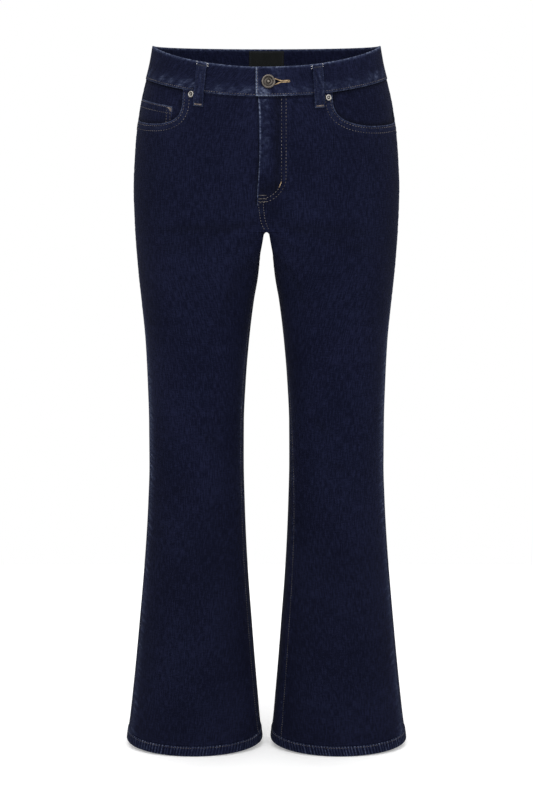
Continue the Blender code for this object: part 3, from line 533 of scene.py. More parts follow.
def front_inner_edge(side, level):
    """Where a front panel starts: the fly's edge, the front seam or the inseam."""
    seam = SEAM_GAP / 2 - side * fly_edge(level)
    if side == LEFT:
        torso = seam
    else:
        past_fly = ramp(-level, -FLY_END - 24 * MM, -FLY_END - 3 * MM)
        torso = FLY_UNDER * (1 - past_fly) + seam * past_fly
    return np.where(level >= CROTCH, torso, SEAM_GAP / 2)


def flap_rise(side, girth, level):
    """The fly's flap stands out where it lies on the right front."""
    if side == RIGHT:
        return np.zeros(np.shape(girth))
    near = 1 - ramp(girth, FLAP_FLAT, FLAP_DOWN)
    above = ramp(level, FLY_END - 16 * MM, FLY_END)
    return FLAP_RISE * near * above


YOKE_SIDE_DROP = 38 * MM
YOKE_CENTRE_DROP = 68 * MM


def yoke_seam(share):
    """The yoke's lower edge: share is 0 at the side seam and 1 at the centre back."""
    sag = 4 * MM * np.sin(np.pi * share)
    return WAIST_SEAM - YOKE_SIDE_DROP - (YOKE_CENTRE_DROP - YOKE_SIDE_DROP) * share - sag


def back_girth(side, share, level):
    return panel_girth(side, level, back_edge, share, SEAM_GAP / 2)


UNDER_TAB = 36 * MM  # how far before the centre the band starts to sink under the tab
UNDER_DOWN = 18 * MM


def band_out(girth, whole):
    """How far out the waistband lies, along its run from the tab's end (below 0) round
    the wearer's left, back and right to the underlap's end (past twice the half)."""
    tab = 1 - ramp(girth, TAB_FLAT, TAB_DOWN)
    past = girth - 2 * whole
    under = ramp(past, -UNDER_TAB, UNDER_DOWN - UNDER_TAB)
    return BAND_PROUD + TAB_RISE * tab - UNDERLAP_SINK * under


def frame_at(girth, level, out):
    """A place on the left half's surface and its three directions: round, up and out."""
    centre, away = with_normal(LEFT, girth, level, out)
    away = unit(away)
    before, after = (surface(LEFT, girth + step, level, out) for step in (-2 * MM, 2 * MM))
    round_it = unit(after - before - away * np.dot(after - before, away))
    return centre, round_it, np.cross(away, round_it), away


def in_frame(place, x, y, out=0.0):
    """A point of such a frame, from its distances round, up and out."""
    centre, round_it, up, away = place
    return centre + round_it * x + up * y + away * out


def waver(x, seed):
    """An uneven wave along a seam, between about -1 and 1."""
    warp = 2.2 * np.sin(x * 103 + seed * 3.1)
    swell = 0.62 + 0.38 * np.sin(x * 131 + seed * 2.3 + 1.5 * np.sin(x * 37))
    return swell * (0.62 * np.sin(x * 760 + warp) + 0.38 * np.sin(x * 493 + seed * 1.7))


def patchy(x, y, seed):
    """Soft blotches between 0 and 1."""
    a = np.sin(x * 210 + 1.9 * np.sin(y * 160 + seed)) * np.sin(y * 190 + seed * 1.3)
    b = np.sin(x * 90 + y * 70 + seed * 2.1 + 1.4 * np.sin(x * 130))
    return np.clip(0.5 + 0.32 * a + 0.22 * b, 0, 1)


def seam(distance, along, seed, reach, height, wear, slant=0.35, groove=0.0):
    """The height and the wear that a seam gives the cloth beside it."""
    near = bell(np.maximum(distance, 0), reach) * (distance > -6 * MM)
    wave = waver(along + slant * distance, seed)
    blotch = patchy(along, distance * 2, seed)
    raised = height * near * wave - groove * bell(distance, 1.2 * MM, 1.8 * MM)
    return raised, wear * near * (0.35 + 0.75 * np.clip(wave, 0, 1)) * (0.45 + 0.9 * blotch)


def together(parts):
    """The heights and the wear, with any painted shade, of several seams, summed."""
    return sum(height for height, _ in parts), sum(wear for _, wear in parts)


def edge_wear(distance, along, seed, width, wear):
    """The light line that an edge rubs to."""
    return wear * bell(distance, width) * (0.72 + 0.28 * waver(along, seed))


def mouth_distance(side, girth, level):
    """How far a place is from the pocket mouth; below 0 is inside the opening."""
    mouth = POCKET_MOUTH[side]
    seam_girth = side_seam(side, level)
    width = seam_girth - mouth.start
    a = np.clip((seam_girth - girth) / width, 1e-4, None)
    drop = mouth.drop - mouth.rise * np.clip(1 - a, 0, 1) ** 2
    b = np.clip((WAIST_SEAM - level) / drop, 1e-4, None)
    s = (a**mouth.power + b**mouth.power) ** (1 / mouth.power)
    slope_a = (a / s) ** (mouth.power - 1) / width
    slope_b = (b / s) ** (mouth.power - 1) / drop
    return (s - 1) / np.hypot(slope_a, slope_b)


HEM_TOP = HEM_EDGE + HEM_HEIGHT
J_INNER, J_OUTER = 20.2 * MM, 26.3 * MM  # the girths of the rows beside the fly
FAR = 1.0  # a distance that no seam reaches
MOUTH_BELOW = -140 * MM  # the pocket mouths end above this level


def leg_relief(side, girth, level, front_side):
    """The height of a front or back panel, and its wear and painted shade."""
    seed = 1.0 + side + (0 if front_side else 5)
    leg = level < CROTCH
    outseam = np.abs(girth - side_seam(side, level))
    if front_side:
        from_inside, from_middle = girth, girth - front_inner_edge(side, level)
        top, strength, middle_rub = WAIST_SEAM - level, 1.0, 0.16
    else:
        from_inside = from_middle = full_girth(side, level) - girth
        top, strength, middle_rub = FAR + level * 0, 0.6, 0.30
    inseam = np.where(leg, from_inside, FAR)
    middle = np.where(leg, FAR, from_middle)
    parts = [
        seam(inseam, level, seed, 8 * MM, 0.34 * MM, 0.30, groove=0.12 * MM),
        seam(outseam, level, seed + 1, 9 * MM, 0.36 * MM, 0.34),
        seam(middle, level, seed + 2, 8 * MM, 0.30 * MM, middle_rub),
        seam(level - HEM_TOP, girth, seed + 3, 5 * MM, 0.25 * MM, 0.22, slant=0.8),
        seam(top, girth, seed + 4, 6 * MM, 0.22 * MM, 0.36),
    ]
    lower = ramp(-level, 300 * MM, 480 * MM)
    roping = 0.5 + 0.5 * waver(level * 0.9 + 0.22 * outseam, seed + 4)
    # Lighter beside the outseam: partly seam wear and partly painted light on the legs' outer
    # edges. Darker towards the hems: painted shade, as the light falls off down the legs.
    wear = 0.08 * bell(outseam, 16 * MM) - 0.16 * ramp(-level, 450 * MM, 720 * MM)
    wear += strength * (0.08 + 0.26 * lower) * bell(outseam, 11 * MM, 9 * MM) * roping**1.3
    wear += 0.22 * lower * bell(inseam, 12 * MM) * roping**2
    if front_side:
        parts += [mouth_relief(side, girth, level, seed), (0, fly_wear_and_shade(side, girth, level))]
    half, angle = locate(side, girth, level)
    crease = fold_depth(CREASES, half, angle, level)
    height, lighter_by = together(parts)
    # Painted shade: the cloth is darker in the creases' troughs.
    return height - crease, wear + lighter_by - 0.30 * crease / MM


def mouth_relief(side, girth, level, seed):
    """The height and wear beside a pocket mouth, and the painted shadow line below the
    waistband.
    """
    distance = np.where(level > MOUTH_BELOW, mouth_distance(side, girth, level), FAR)
    ripple, wear = seam(distance, girth + level, seed + 6, 12 * MM, 0.18 * MM, 0.10)
    wear += edge_wear(distance, girth + level, seed, 1.3 * MM, 0.50)
    by_rivet = 0.10 + 0.12 * ramp(level, WAIST_SEAM - 45 * MM, WAIST_SEAM - 15 * MM)
    band = bell(distance, 4.5 * MM, 6 * MM)
    wear += by_rivet * band * patchy(girth * 2, level * 2, seed + 8)
    # The painted shadow under the waistband's edge.
    return np.abs(ripple), wear - 0.55 * bell(WAIST_SEAM - level, 1.6 * MM, 2.6 * MM)


def fly_wear_and_shade(side, girth, level):
    """The wear of the fly, with painted shade: rubbed along the flap's edge and its rows of
    thread, a painted shadow under the edge, painted shade in the hollow between them,
    and darker low on the flap."""
    at_fly = level > FLY_END - 6 * MM
    if side == RIGHT:
        # Painted shadow under the flap's edge, on the right front.
        return -0.6 * at_fly * bell(girth + front_inner_edge(LEFT, level), 3.2 * MM)
    fly = np.where(at_fly, girth - front_inner_edge(side, level), FAR)
    by_waist = ramp(level, -80 * MM, -40 * MM)
    wear = edge_wear(fly, level, 2.0, 0.95 * MM, 0.66 + 0.3 * by_waist)
    patch = bell(fly, 5.5 * MM, 9 * MM) * ramp(level, -172 * MM, -135 * MM)
    wear += 0.24 * patch * patchy(level * 2.2, girth * 1.3, 4.0) ** 2
    # Painted shade in the hollow between the flap's edge and the rows of thread.
    hollow = bell(girth, 4.5 * MM, 14.5 * MM)
    wear -= 0.42 * hollow * ramp(level, FLY_END + 6 * MM, FLY_END + 24 * MM)
    # Darker low on the flap, away from its edge.
    lower_fly = bell(level, 14 * MM, -172 * MM) * (np.abs(girth) < 14 * MM)
    wear -= 0.40 * lower_fly * ramp(fly, 1 * MM, 3 * MM)
    for row in (J_INNER, J_OUTER):
        by_row = bell(girth - row, 1.6 * MM, 2.6 * MM)
        by_row = by_row * ramp(level, FLY_END + 10 * MM, FLY_END + 30 * MM)
        wear += 0.10 * by_row * (0.5 + 0.5 * waver(level, 2.0))
    return wear


def front_out(side, girth, level):
    height, _ = leg_relief(side, girth, level, True)
    clear = ramp(mouth_distance(side, girth, level), -2 * MM, 6 * MM)
    clear = np.where(level > MOUTH_BELOW, clear, 1.0)
    return flap_rise(side, girth, level) + height * clear


def back_out(side, girth, level):
    return leg_relief(side, girth, level, False)[0]


def yoke_relief(side, share, girth, level):
    """The height and wear of a yoke, puckered at its four seams."""
    seed = 9 + side
    middle = full_girth(side, level) - girth
    outseam = np.abs(girth - side_seam(side, level))
    return together([
        seam(level - yoke_seam(share), girth, seed, 6 * MM, 0.22 * MM, 0.30),
        seam(WAIST_SEAM - level, girth, seed + 1, 6 * MM, 0.22 * MM, 0.34),
        seam(middle, level, seed + 2, 7 * MM, 0.26 * MM, 0.32),
        seam(outseam, level, seed + 3, 7 * MM, 0.26 * MM, 0.3),
    ])


def band_relief(girth, level):
    """The waistband: puckered at its seam, rubbed light along its top and mottled above
    the row of thread."""
    above = level - WAIST_SEAM
    below_top = WAIST_TOP - level
    height, wear = together([
        seam(above, girth, 3.3, 7 * MM, 0.26 * MM, 0.22),
        seam(below_top, girth, 5.1, 4 * MM, 0.12 * MM, 0.12),
    ])
    mottle = bell(above, 6.5 * MM, 10 * MM) * patchy(girth * 1.6, level * 1.3, 2.0) ** 2
    wear += 0.40 * mottle + edge_wear(below_top, girth, 1.0, 2.2 * MM, 0.56)
    at_tab = 1 - ramp(girth, 8 * MM, 40 * MM)
    wear += edge_wear(above, girth, 2.0, 1.2 * MM, 0.32) * (1 + 2.2 * at_tab)
    wear += edge_wear(girth + TAB_PAST, level, 3.0, 1.4 * MM, 1.25)
    corner = bell(girth + TAB_PAST, 7 * MM, 7 * MM) * bell(above, 6 * MM, 8 * MM)
    wear += 0.30 * corner + 0.14 * at_tab * patchy(girth, level * 1.4, 8.0) ** 2
    return height, wear + 0.02


# ---------------------------------------------------------------------------------------
# Meshes

UV_NAME = "cloth"
WRAP = 200 * MM  # a face wider than this goes over the end of a ring
RIM_ROUND = 0.12  # how far a raw edge bulges, as a share of the thickness
RIM_WEAR = 0.12  # how much more it is rubbed


def add(name, data):
    """Puts a new object in the scene."""
    made = bpy.data.objects.new(name, data)
    bpy.context.scene.collection.objects.link(made)
    return made


def give_values(mesh, key, numbers):
    """One number for each point, which a material reads by name."""
    attribute = mesh.attributes.new(key, "FLOAT", "POINT")
    attribute.data.foreach_set("value", np.ascontiguousarray(numbers, np.float32).ravel())


def mesh_of_quads(name, points, quads, finish, values=None, uv=None):
    """A mesh from arrays of points and four-cornered faces; values are one number for
    each point, by name, and uv is one place in metres for each corner of each face."""
    mesh = bpy.data.meshes.new(name)
    mesh.vertices.add(len(points))
    mesh.vertices.foreach_set("co", np.ascontiguousarray(points, np.float32).ravel())
    mesh.loops.add(quads.size)
    mesh.loops.foreach_set("vertex_index", np.ascontiguousarray(quads, np.int32).ravel())
    mesh.polygons.add(len(quads))
    mesh.polygons.foreach_set("loop_start", np.arange(0, quads.size, 4, dtype=np.int32))
    mesh.update(calc_edges=True)
    if uv is not None:
        layer = mesh.uv_layers.new(name=UV_NAME)
        layer.data.foreach_set("uv", np.ascontiguousarray(uv, np.float32).ravel())
    for key, numbers in (values or {}).items():
        give_values(mesh, key, numbers)
    mesh.materials.append(finish)
    mesh.shade_smooth()
    return add(name, mesh)


def mesh_of_faces(name, points, faces, finish=None, high=None):
    """A mesh from lists of points and faces; high is how rubbed its metal is."""
    mesh = bpy.data.meshes.new(name)
    mesh.from_pydata([tuple(p) for p in points], [], faces)
    if finish:
        mesh.materials.append(finish)
        mesh.shade_smooth()
        give_values(mesh, "high", high)
    return add(name, mesh)


def keep(piece, slot, *nodes):
    """The piece moves with the garment and stands for these solids."""
    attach(piece, "root")
    if nodes:
        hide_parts(*nodes)
    return piece


def cloth(name, side, girth, level, out, thick, wear, finish, inside=0.0, closed=False,
          wear_within=0.4, to_centre=False):
    """A thin shell on a grid of places, with rows down the garment and columns round it
    from the front, and rounded raw edges. Its last column meets the other half's in the
    middle of the back where to_centre says so. Returns the piece and its flat size."""
    out = np.broadcast_to(out, girth.shape)
    layers = [surface(side, girth, level, out - thick * share) for share in (0, 0.5, 1)]
    if to_centre:
        for layer in layers:
            layer[level[:, -1] > CROTCH, -1, 0] = 0
    shown, middle, hidden = layers
    grid = np.arange(girth.size).reshape(girth.shape)
    runs = rim_runs(grid, closed)
    rim_of = np.concatenate([run[:-1] for run in runs])
    rim = rim_ring(shown, middle, rim_of, thick, closed)
    points = np.concatenate([shown.reshape(-1, 3), hidden.reshape(-1, 3), rim])
    faces = shell_faces(grid, runs, rim_of, closed)
    if side == RIGHT:
        faces = faces[:, ::-1]
    # Each point's wear, with painted shade where it is below 0; the hidden side gets a share of
    # both.
    tone_marks = np.broadcast_to(wear, girth.shape).reshape(-1)
    values = {
        "wear": np.concatenate([tone_marks, tone_marks * wear_within, tone_marks[rim_of] + RIM_WEAR]),
        "inside": np.repeat([0.0, inside, 0.0], [grid.size, grid.size, len(rim_of)]),
    }
    uv = cloth_uv(side, girth, level, rim_of, faces, closed)
    return mesh_of_quads(name, points, faces, finish, values, uv), flat_size(shown, closed)


def rim_runs(grid, closed):
    """The points along a grid's raw edges; each run ends where it began."""
    if closed:
        return [np.append(grid[0], grid[0, 0]), np.append(grid[-1], grid[-1, 0])[::-1]]
    return [np.concatenate([grid[0], grid[1:, -1], grid[-1, -2::-1], grid[-2::-1, 0]])]


def shell_faces(grid, runs, rim_of, closed):
    """The faces of a shell's shown side, of its hidden side and round its rim."""
    count = grid.size
    wrapped = np.concatenate([grid, grid[:, :1]], axis=1) if closed else grid
    corners = [wrapped[:-1, :-1], wrapped[1:, :-1], wrapped[1:, 1:], wrapped[:-1, 1:]]
    shown = np.stack(corners, axis=-1).reshape(-1, 4)
    faces = [shown, shown[:, ::-1] + count]
    rim = np.zeros(count, int)
    rim[rim_of] = 2 * count + np.arange(len(rim_of))
    for run in runs:
        a, b = run[:-1], run[1:]
        faces.append(np.stack([a, b, rim[b], rim[a]], axis=-1))
        faces.append(np.stack([rim[a], rim[b], b + count, a + count], axis=-1))
    return np.concatenate(faces)


def cloth_uv(side, girth, level, rim_of, faces, closed):
    """For each corner of each face, how far round it is from the side seam, and its level."""
    place = np.stack([side * (girth - side_seam(side, level)), level], axis=-1).reshape(-1, 2)
    uv = np.concatenate([place, place, place[rim_of]])[faces]
    if closed:
        from_seam = side * uv[..., 0]
        far = from_seam < from_seam.max(axis=1, keepdims=True) - WRAP
        uv[..., 0] = uv[..., 0] + far * side * (girth[0, -1] + girth[0, 1])
    return uv


def rim_ring(shown, middle, rim_of, thick, closed):
    """Points a little past the edge of a grid, so that its rim is rounded."""
    rows, columns = shown.shape[:2]
    r, c = rim_of // columns, rim_of % columns
    inner_r = np.clip(r, 1, rows - 2)
    inner_c = c if closed else np.clip(c, 1, columns - 2)
    edge = middle[r, c]
    outward = shown[r, c] - shown[inner_r, inner_c]
    return edge + unit(outward) * thick * RIM_ROUND


def flat_size(shown, closed):
    """The width, the length and the area of a grid's outer face, in metres."""
    if closed:
        shown = np.concatenate([shown, shown[:, :1]], axis=1)
    across_it = np.linalg.norm(np.diff(shown, axis=1), axis=-1)
    down_it = np.linalg.norm(np.diff(shown, axis=0), axis=-1)
    one = np.cross(shown[1:, :-1] - shown[:-1, :-1], shown[:-1, 1:] - shown[:-1, :-1])
    two = np.cross(shown[:-1, 1:] - shown[1:, 1:], shown[1:, :-1] - shown[1:, 1:])
    area = (np.linalg.norm(one, axis=-1).sum() + np.linalg.norm(two, axis=-1).sum()) / 2
    return float(across_it.sum(axis=1).max()), float(down_it.sum(axis=0).max()), float(area)


def dress(node, side, girth, level, out, thick, wear, finish=None, slot="denim", held="hung",
          name=None, cut=None, **kind):
    piece, (width, length, area) = cloth(name or f"{node}_cloth", side, girth, level, out,
                                         thick, wear, finish or DENIM_CLOTH, **kind)
    if cut:
        cut(piece)
    keep(piece, slot, node)
    area = min(area, 0.999 * width * length)


# ---------------------------------------------------------------------------------------
# Materials


class Graph:
    """A material's nodes, made one after another."""

    def __init__(self, name):
        self.material = bpy.data.materials.new(name)
        self.material.use_nodes = True
        self.tree = self.material.node_tree
        self.shader = self.tree.nodes["Principled BSDF"]

    def put(self, socket, value):
        if isinstance(value, bpy.types.NodeSocket):
            self.tree.links.new(value, socket)
        elif isinstance(value, tuple) and len(value) == 3 and socket.type == "RGBA":
            socket.default_value = (*value, 1)
        else:
            socket.default_value = value

    def node(self, kind, settings=None, inputs=None, output=0):
        made = self.tree.nodes.new(kind)
        for key, value in (settings or {}).items():
            setattr(made, key, value)
        for key, value in (inputs or {}).items():
            self.put(made.inputs[key], value)
        return made.outputs[output]

    def maths(self, operation, *inputs, clamp=False):
        settings = {"operation": operation, "use_clamp": clamp}
        return self.node("ShaderNodeMath", settings, dict(enumerate(inputs)))

    def times(self, a, b, clamp=False):
        return self.maths("MULTIPLY", a, b, clamp=clamp)

    def plus(self, a, b, clamp=False):
        return self.maths("ADD", a, b, clamp=clamp)

    def mix(self, factor, a, b):
        inputs = {0: factor, 6: a, 7: b}
        return self.node("ShaderNodeMix", {"data_type": "RGBA"}, inputs, 2)

    def bump(self, height, strength, distance):
        inputs = {"Strength": strength, "Distance": distance, "Height": height}
        return self.node("ShaderNodeBump", None, inputs)

    def value(self, name):
        return self.node("ShaderNodeAttribute", {"attribute_name": name}, output=2)

    def scaled(self, vector, scale):
        return self.node("ShaderNodeMapping", None, {"Vector": vector, "Scale": scale})

    def noise(self, vector, scale, detail=2.0):
        inputs = {"Vector": self.scaled(vector, scale), "Scale": 1.0, "Detail": detail}
        return self.node("ShaderNodeTexNoise", None, inputs)

    def wave(self, vector, scale, direction="DIAGONAL"):
        settings = {"bands_direction": direction}
        inputs = {"Vector": self.scaled(vector, scale), "Scale": 1.0, "Distortion": 0.6}
        return self.node("ShaderNodeTexWave", settings, inputs, 1)

    def finish(self, **sockets):
        for name, value in sockets.items():
            self.put(self.shader.inputs[name.replace("_", " ")], value)
        return self.material


# PAINTED_SHADE is painted shade: the cloth is mixed toward this dark indigo where its values go
# below 0.
PAINTED_SHADE = (0.0008, 0.0009, 0.0022)
INDIGO = (0.0020, 0.0026, 0.0116)
INDIGO_LIGHT = (0.0078, 0.0096, 0.0300)
BRIGHT_BLUE = (0.024, 0.034, 0.088)
RUBBED = (0.170, 0.200, 0.275)
PALE_WEFT = (0.052, 0.058, 0.082)
WORN_WEAVE = (0.16, 0.16, 0.17)
TWILL_ACROSS, TWILL_UP = 590.0, -300.0  # turns a metre of cloth into the twill's waves


def denim_material():
    """Indigo twill: steep diagonal ribs, uneven vertical yarns, and light fibres where
    the cloth has been rubbed; where the values go below 0 it is darkened as painted shade."""
    g = Graph("indigo_twill")
    place = g.node("ShaderNodeUVMap", {"uv_map": UV_NAME})
    ribs = g.wave(place, (TWILL_ACROSS, TWILL_UP, 1))
    slub = g.noise(place, (640, 80, 1), 3.0)
    pick = g.noise(place, (150, 620, 1), 2.0)
    grain = g.noise(place, (1500, 900, 1), 1.0)
    cloud = g.noise(place, (13, 9, 1), 3.0)
    specks = g.noise(place, (260, 300, 1), 3.0)
    tone = g.plus(g.maths("MULTIPLY_ADD", slub, 3.2, -2.78), g.times(pick, 1.8))
    base = g.mix(g.plus(tone, g.times(cloud, 1.2), clamp=True), INDIGO, INDIGO_LIGHT)
    # Painted shade: values below 0 darken the cloth toward the dark indigo.
    base = g.mix(g.times(g.value("wear"), -1.0, clamp=True), base, PAINTED_SHADE)
    rib_tone = g.times(ribs, g.times(grain, 0.34))
    base = g.mix(g.times(rib_tone, 0.10), base, RUBBED)
    mottle = g.times(g.maths("SUBTRACT", specks, 0.22), 3.4)
    tone_marks = g.times(g.value("wear"), g.maths("MAXIMUM", mottle, 0.25), clamp=True)
    base = g.mix(g.times(tone_marks, 1.2, clamp=True), base, BRIGHT_BLUE)
    base = g.mix(g.times(tone_marks, tone_marks), base, RUBBED)
    weft = g.mix(g.times(ribs, 0.5), PALE_WEFT, INDIGO_LIGHT)
    base = g.mix(g.value("inside"), base, weft)
    height = g.plus(g.plus(g.times(ribs, 0.7), g.times(slub, 0.9)), g.times(grain, 0.4))
    normal = g.bump(height, 0.5, 0.00022)
    return g.finish(Base_Color=base, Roughness=0.88, Specular_IOR_Level=0.04, Normal=normal,
                    Sheen_Weight=0.012, Sheen_Roughness=0.5, Sheen_Tint=(0.6, 0.66, 0.85))


def thread_material(name, dark, light):
    """Twisted sewing thread, each stitch in its own tone."""
    g = Graph(name)
    place = g.node("ShaderNodeTexCoord", output=3)
    fibre = g.noise(place, (1400, 1400, 1400), 2.0)
    tone = g.maths("MULTIPLY_ADD", fibre, 0.5, g.times(g.value("tone"), 0.6))
    return g.finish(Base_Color=g.mix(tone, dark, light), Roughness=0.7,
                    Specular_IOR_Level=0.2, Normal=g.bump(fibre, 0.5, 0.0001))


def metal_material(name, dark, light):
    """Antique metal: dark in its hollows and rubbed bright on its high places."""
    g = Graph(name)
    place = g.node("ShaderNodeTexCoord", output=3)
    stain = g.noise(place, (420, 420, 420), 4.0)
    pits = g.noise(place, (1600, 1600, 1600), 2.0)
    uneven = g.times(g.maths("SUBTRACT", stain, 0.5), 0.9)
    high = g.maths("MULTIPLY_ADD", g.value("high"), 0.9, uneven, clamp=True)
    rough = g.maths("MULTIPLY_ADD", stain, 0.35, 0.22)
    return g.finish(Base_Color=g.mix(high, dark, light), Metallic=1.0, Roughness=rough,
                    Normal=g.bump(pits, 0.35, 0.0001))


def woven_material(name, dark, light, across_scale, up_scale):
    """A dense flat weave, for the label and the zip's tape."""
    g = Graph(name)
    place = g.node("ShaderNodeUVMap", {"uv_map": UV_NAME})
    warp = g.wave(place, (across_scale, 0, 1), "X")
    weave = g.times(warp, g.wave(place, (0, up_scale, 1), "Y"))
    cloud = g.noise(place, (90, 70, 1), 3.0)
    tone = g.plus(g.times(weave, 0.6), g.times(cloud, 0.5))
    colour = g.mix(g.times(g.value("wear"), 0.5), g.mix(tone, dark, light), WORN_WEAVE)
    return g.finish(Base_Color=colour, Roughness=0.8, Specular_IOR_Level=0.05,
                    Normal=g.bump(weave, 0.4, 0.00012))


DENIM_CLOTH = denim_material()
TAN_THREAD, GOLD_THREAD, RUST_THREAD, NAVY_THREAD, PALE_THREAD = (
    thread_material(f"{name}_thread", dark, light) for name, dark, light in (
        ("tan", (0.028, 0.026, 0.028), (0.190, 0.172, 0.160)),
        ("gold", (0.150, 0.096, 0.048), (0.520, 0.385, 0.225)),
        ("rust", (0.065, 0.050, 0.046), (0.235, 0.198, 0.178)),
        ("navy", (0.008, 0.009, 0.016), (0.030, 0.034, 0.056)),
        ("pale", (0.340, 0.340, 0.350), (0.760, 0.760, 0.770)),
    )
)
METAL = metal_material("antique_nickel", (0.016, 0.014, 0.013), (0.185, 0.165, 0.145))
RIVET_METAL = metal_material("rubbed_nickel", (0.020, 0.018, 0.018), (0.440, 0.420, 0.390))
LABEL_WEAVE = woven_material("label_weave", (0.006, 0.007, 0.007), (0.017, 0.018, 0.018),
                             9000, 9000)
TAPE_WEAVE = woven_material("tape_weave", (0.008, 0.009, 0.018), (0.022, 0.024, 0.042),
                            5000, 7000)


# ---------------------------------------------------------------------------------------
# Thread

STITCH_RINGS = np.array([0.0, 0.16, 0.5, 0.84, 1.0])
STITCH_GIRTHS = np.array([0.45, 0.92, 1.0, 0.92, 0.45])
STITCH_RISES = np.array([-0.55, 0.35, 0.62, 0.35, -0.55])  # in thread radii
STITCH_SIDES = 6


class Thread:
    """Stitches gathered into one mesh."""

    def __init__(self, name, finish, slot="denim"):
        self.name, self.finish, self.slot = name, finish, slot
        self.points, self.tones = [], []

    def bars(self, start, end, normal, radius):
        """A stitch from each start to each end, its ends sunk into the cloth."""
        start, end, normal = (np.asarray(x, float) for x in (start, end, normal))
        along = unit(end - start)
        aside = unit(np.cross(normal, along))
        up = np.cross(along, aside)
        angle = np.linspace(0, 2 * np.pi, STITCH_SIDES, endpoint=False)
        centre = start[:, None] + (end - start)[:, None] * STITCH_RINGS[None, :, None]
        centre = centre + up[:, None] * (STITCH_RISES * radius)[None, :, None]
        ring = (STITCH_GIRTHS * radius)[None, :, None, None]
        ray = aside[:, None, None] * np.cos(angle)[None, None, :, None]
        ray = ray + up[:, None, None] * np.sin(angle)[None, None, :, None]
        self.points.append((centre[:, :, None] + ring * ray).reshape(-1, 3))
        number = np.arange(len(start)) + len(self.tones)
        tone = 0.5 + 0.5 * np.sin(number * 12.9898 + 4.1)
        self.tones += list(np.repeat(tone, len(STITCH_RINGS) * STITCH_SIDES))

    def row(self, side, girth, level, out, pitch=3.6 * MM, radius=0.32 * MM, gap=0.46):
        """A row of stitches along places; out gives how far out the cloth lies there."""
        girth, level = np.broadcast_arrays(girth, level)
        point, away = with_normal(side, girth, level, out(side, girth, level))
        run = run_along(point)
        count = max(1, int(run[-1] / pitch))
        step = run[-1] / count
        wobble = 0.05 * np.sin(np.arange(count) * 7.3)
        start = (np.arange(count) + gap / 2 + wobble) * step
        end = (np.arange(count) + 1 - gap / 2 + wobble) * step
        normal = unit(read_path((start + end) / 2, run, away))
        start, end = (read_path(where, run, point) for where in (start, end))
        self.bars(start, end, normal, radius)

    def path(self, side, girth, level, out, radius):
        """A stitch from each place of a path to the next."""
        point, away = with_normal(side, girth, level, out)
        self.bars(point[:-1], point[1:], away[:-1], radius)

    def tack(self, side, girth, level, out, width, height, lean=0.0, radius=0.26 * MM):
        """A bar tack: a dense zigzag, width along the girth and height along the level."""
        count = max(4, int(max(width, height) / (0.55 * MM)))
        t = np.linspace(-0.5, 0.5, count)
        swing = np.where(np.arange(count) % 2, 0.5, -0.5)
        if width >= height:
            g, h = t * width, swing * height
        else:
            g, h = swing * width, t * height
        turned_g = g * np.cos(lean) - h * np.sin(lean)
        turned_h = g * np.sin(lean) + h * np.cos(lean)
        g, h = girth + turned_g, level + turned_h
        self.path(side, g, h, out(side, g, h) + radius * 0.4, radius)

    def build(self):
        points = np.concatenate(self.points)
        rings, sides = len(STITCH_RINGS), STITCH_SIDES
        one = []
        for r in range(rings - 1):
            for k in range(sides):
                a, b = r * sides + k, r * sides + (k + 1) % sides
                one.append((a, b, b + sides, a + sides))
        last = (rings - 1) * sides
        one += [(3, 2, 1, 0), (5, 4, 3, 0)]
        one += [(last, last + 1, last + 2, last + 3), (last, last + 3, last + 4, last + 5)]
        each = rings * sides
        stitches = len(points) // each
        faces = np.array(one)[None] + np.arange(stitches)[:, None, None] * each
        faces = faces.reshape(-1, 4)
        piece = mesh_of_quads(self.name, points, faces, self.finish, {"tone": self.tones})
        return keep(piece, self.slot)


# ---------------------------------------------------------------------------------------
# The cloth

STEP = 2.7 * MM  # between rows of the leg panels


def spread(width_from, width_to, fine, coarse, reach):
    """Stops between two places, fine within reach of both ends and coarse between."""
    length = width_to - width_from
    n_edge = int(round(reach / fine))
    n_middle = max(1, int(np.ceil((length - 2 * reach) / coarse)))
    stops = [np.linspace(0, reach, n_edge, endpoint=False)]
    stops.append(np.linspace(reach, length - reach, n_middle, endpoint=False))
    stops.append(np.linspace(length - reach, length, n_edge + 1))
    return width_from + np.concatenate(stops)


def levels_down(top, bottom):
    return np.linspace(top, bottom, int(np.ceil((top - bottom) / STEP)) + 1)


LEG_BOTTOM = HEM_TOP + SEAM_GAP


def lower_levels():
    """Rows from the pocket zone to the hem, closest together at the crotch."""
    near = np.concatenate([
        np.linspace(CROTCH + 9 * MM, CROTCH, 10),
        np.linspace(CROTCH - 0.4 * MM, CROTCH - 10 * MM, 11),
    ])
    above = levels_down(POCKET_ZONE, near[0])[1:-1]
    below = levels_down(near[-1], LEG_BOTTOM)[1:]
    return np.concatenate([above, near, below])


TOP_STEPS = 34


def front_places(side):
    """Girths and levels of a front panel, like the solid's but closer together."""
    mouth_girth, mouth_level = mouth_curve(side)
    inner_end = float(front_inner_edge(side, WAIST_SEAM))
    flap = spread(0, mouth_girth[-1] - inner_end, 1.7 * MM, 3.6 * MM, 13 * MM)[1:]
    top_girth = np.concatenate([mouth_girth, mouth_girth[-1] - flap])
    top_level = np.concatenate([mouth_level, np.full(len(flap), WAIST_SEAM - SEAM_GAP)])
    reach = 1 - (top_girth - inner_end) / (top_girth[0] - inner_end)

    def row(level):
        return panel_girth(side, level, front_inner_edge, reach, -SEAM_GAP / 2)

    girths, levels = [], []
    zone = row(POCKET_ZONE)
    for t in np.linspace(0, 1, TOP_STEPS + 1):
        levels.append(top_level * (1 - t) + POCKET_ZONE * t)
        girths.append(top_girth * (1 - t) + zone * t)
    for level in lower_levels():
        girths.append(row(level))
        levels.append(np.full(len(reach), level))
    return np.array(girths)[:, ::-1], np.array(levels)[:, ::-1]


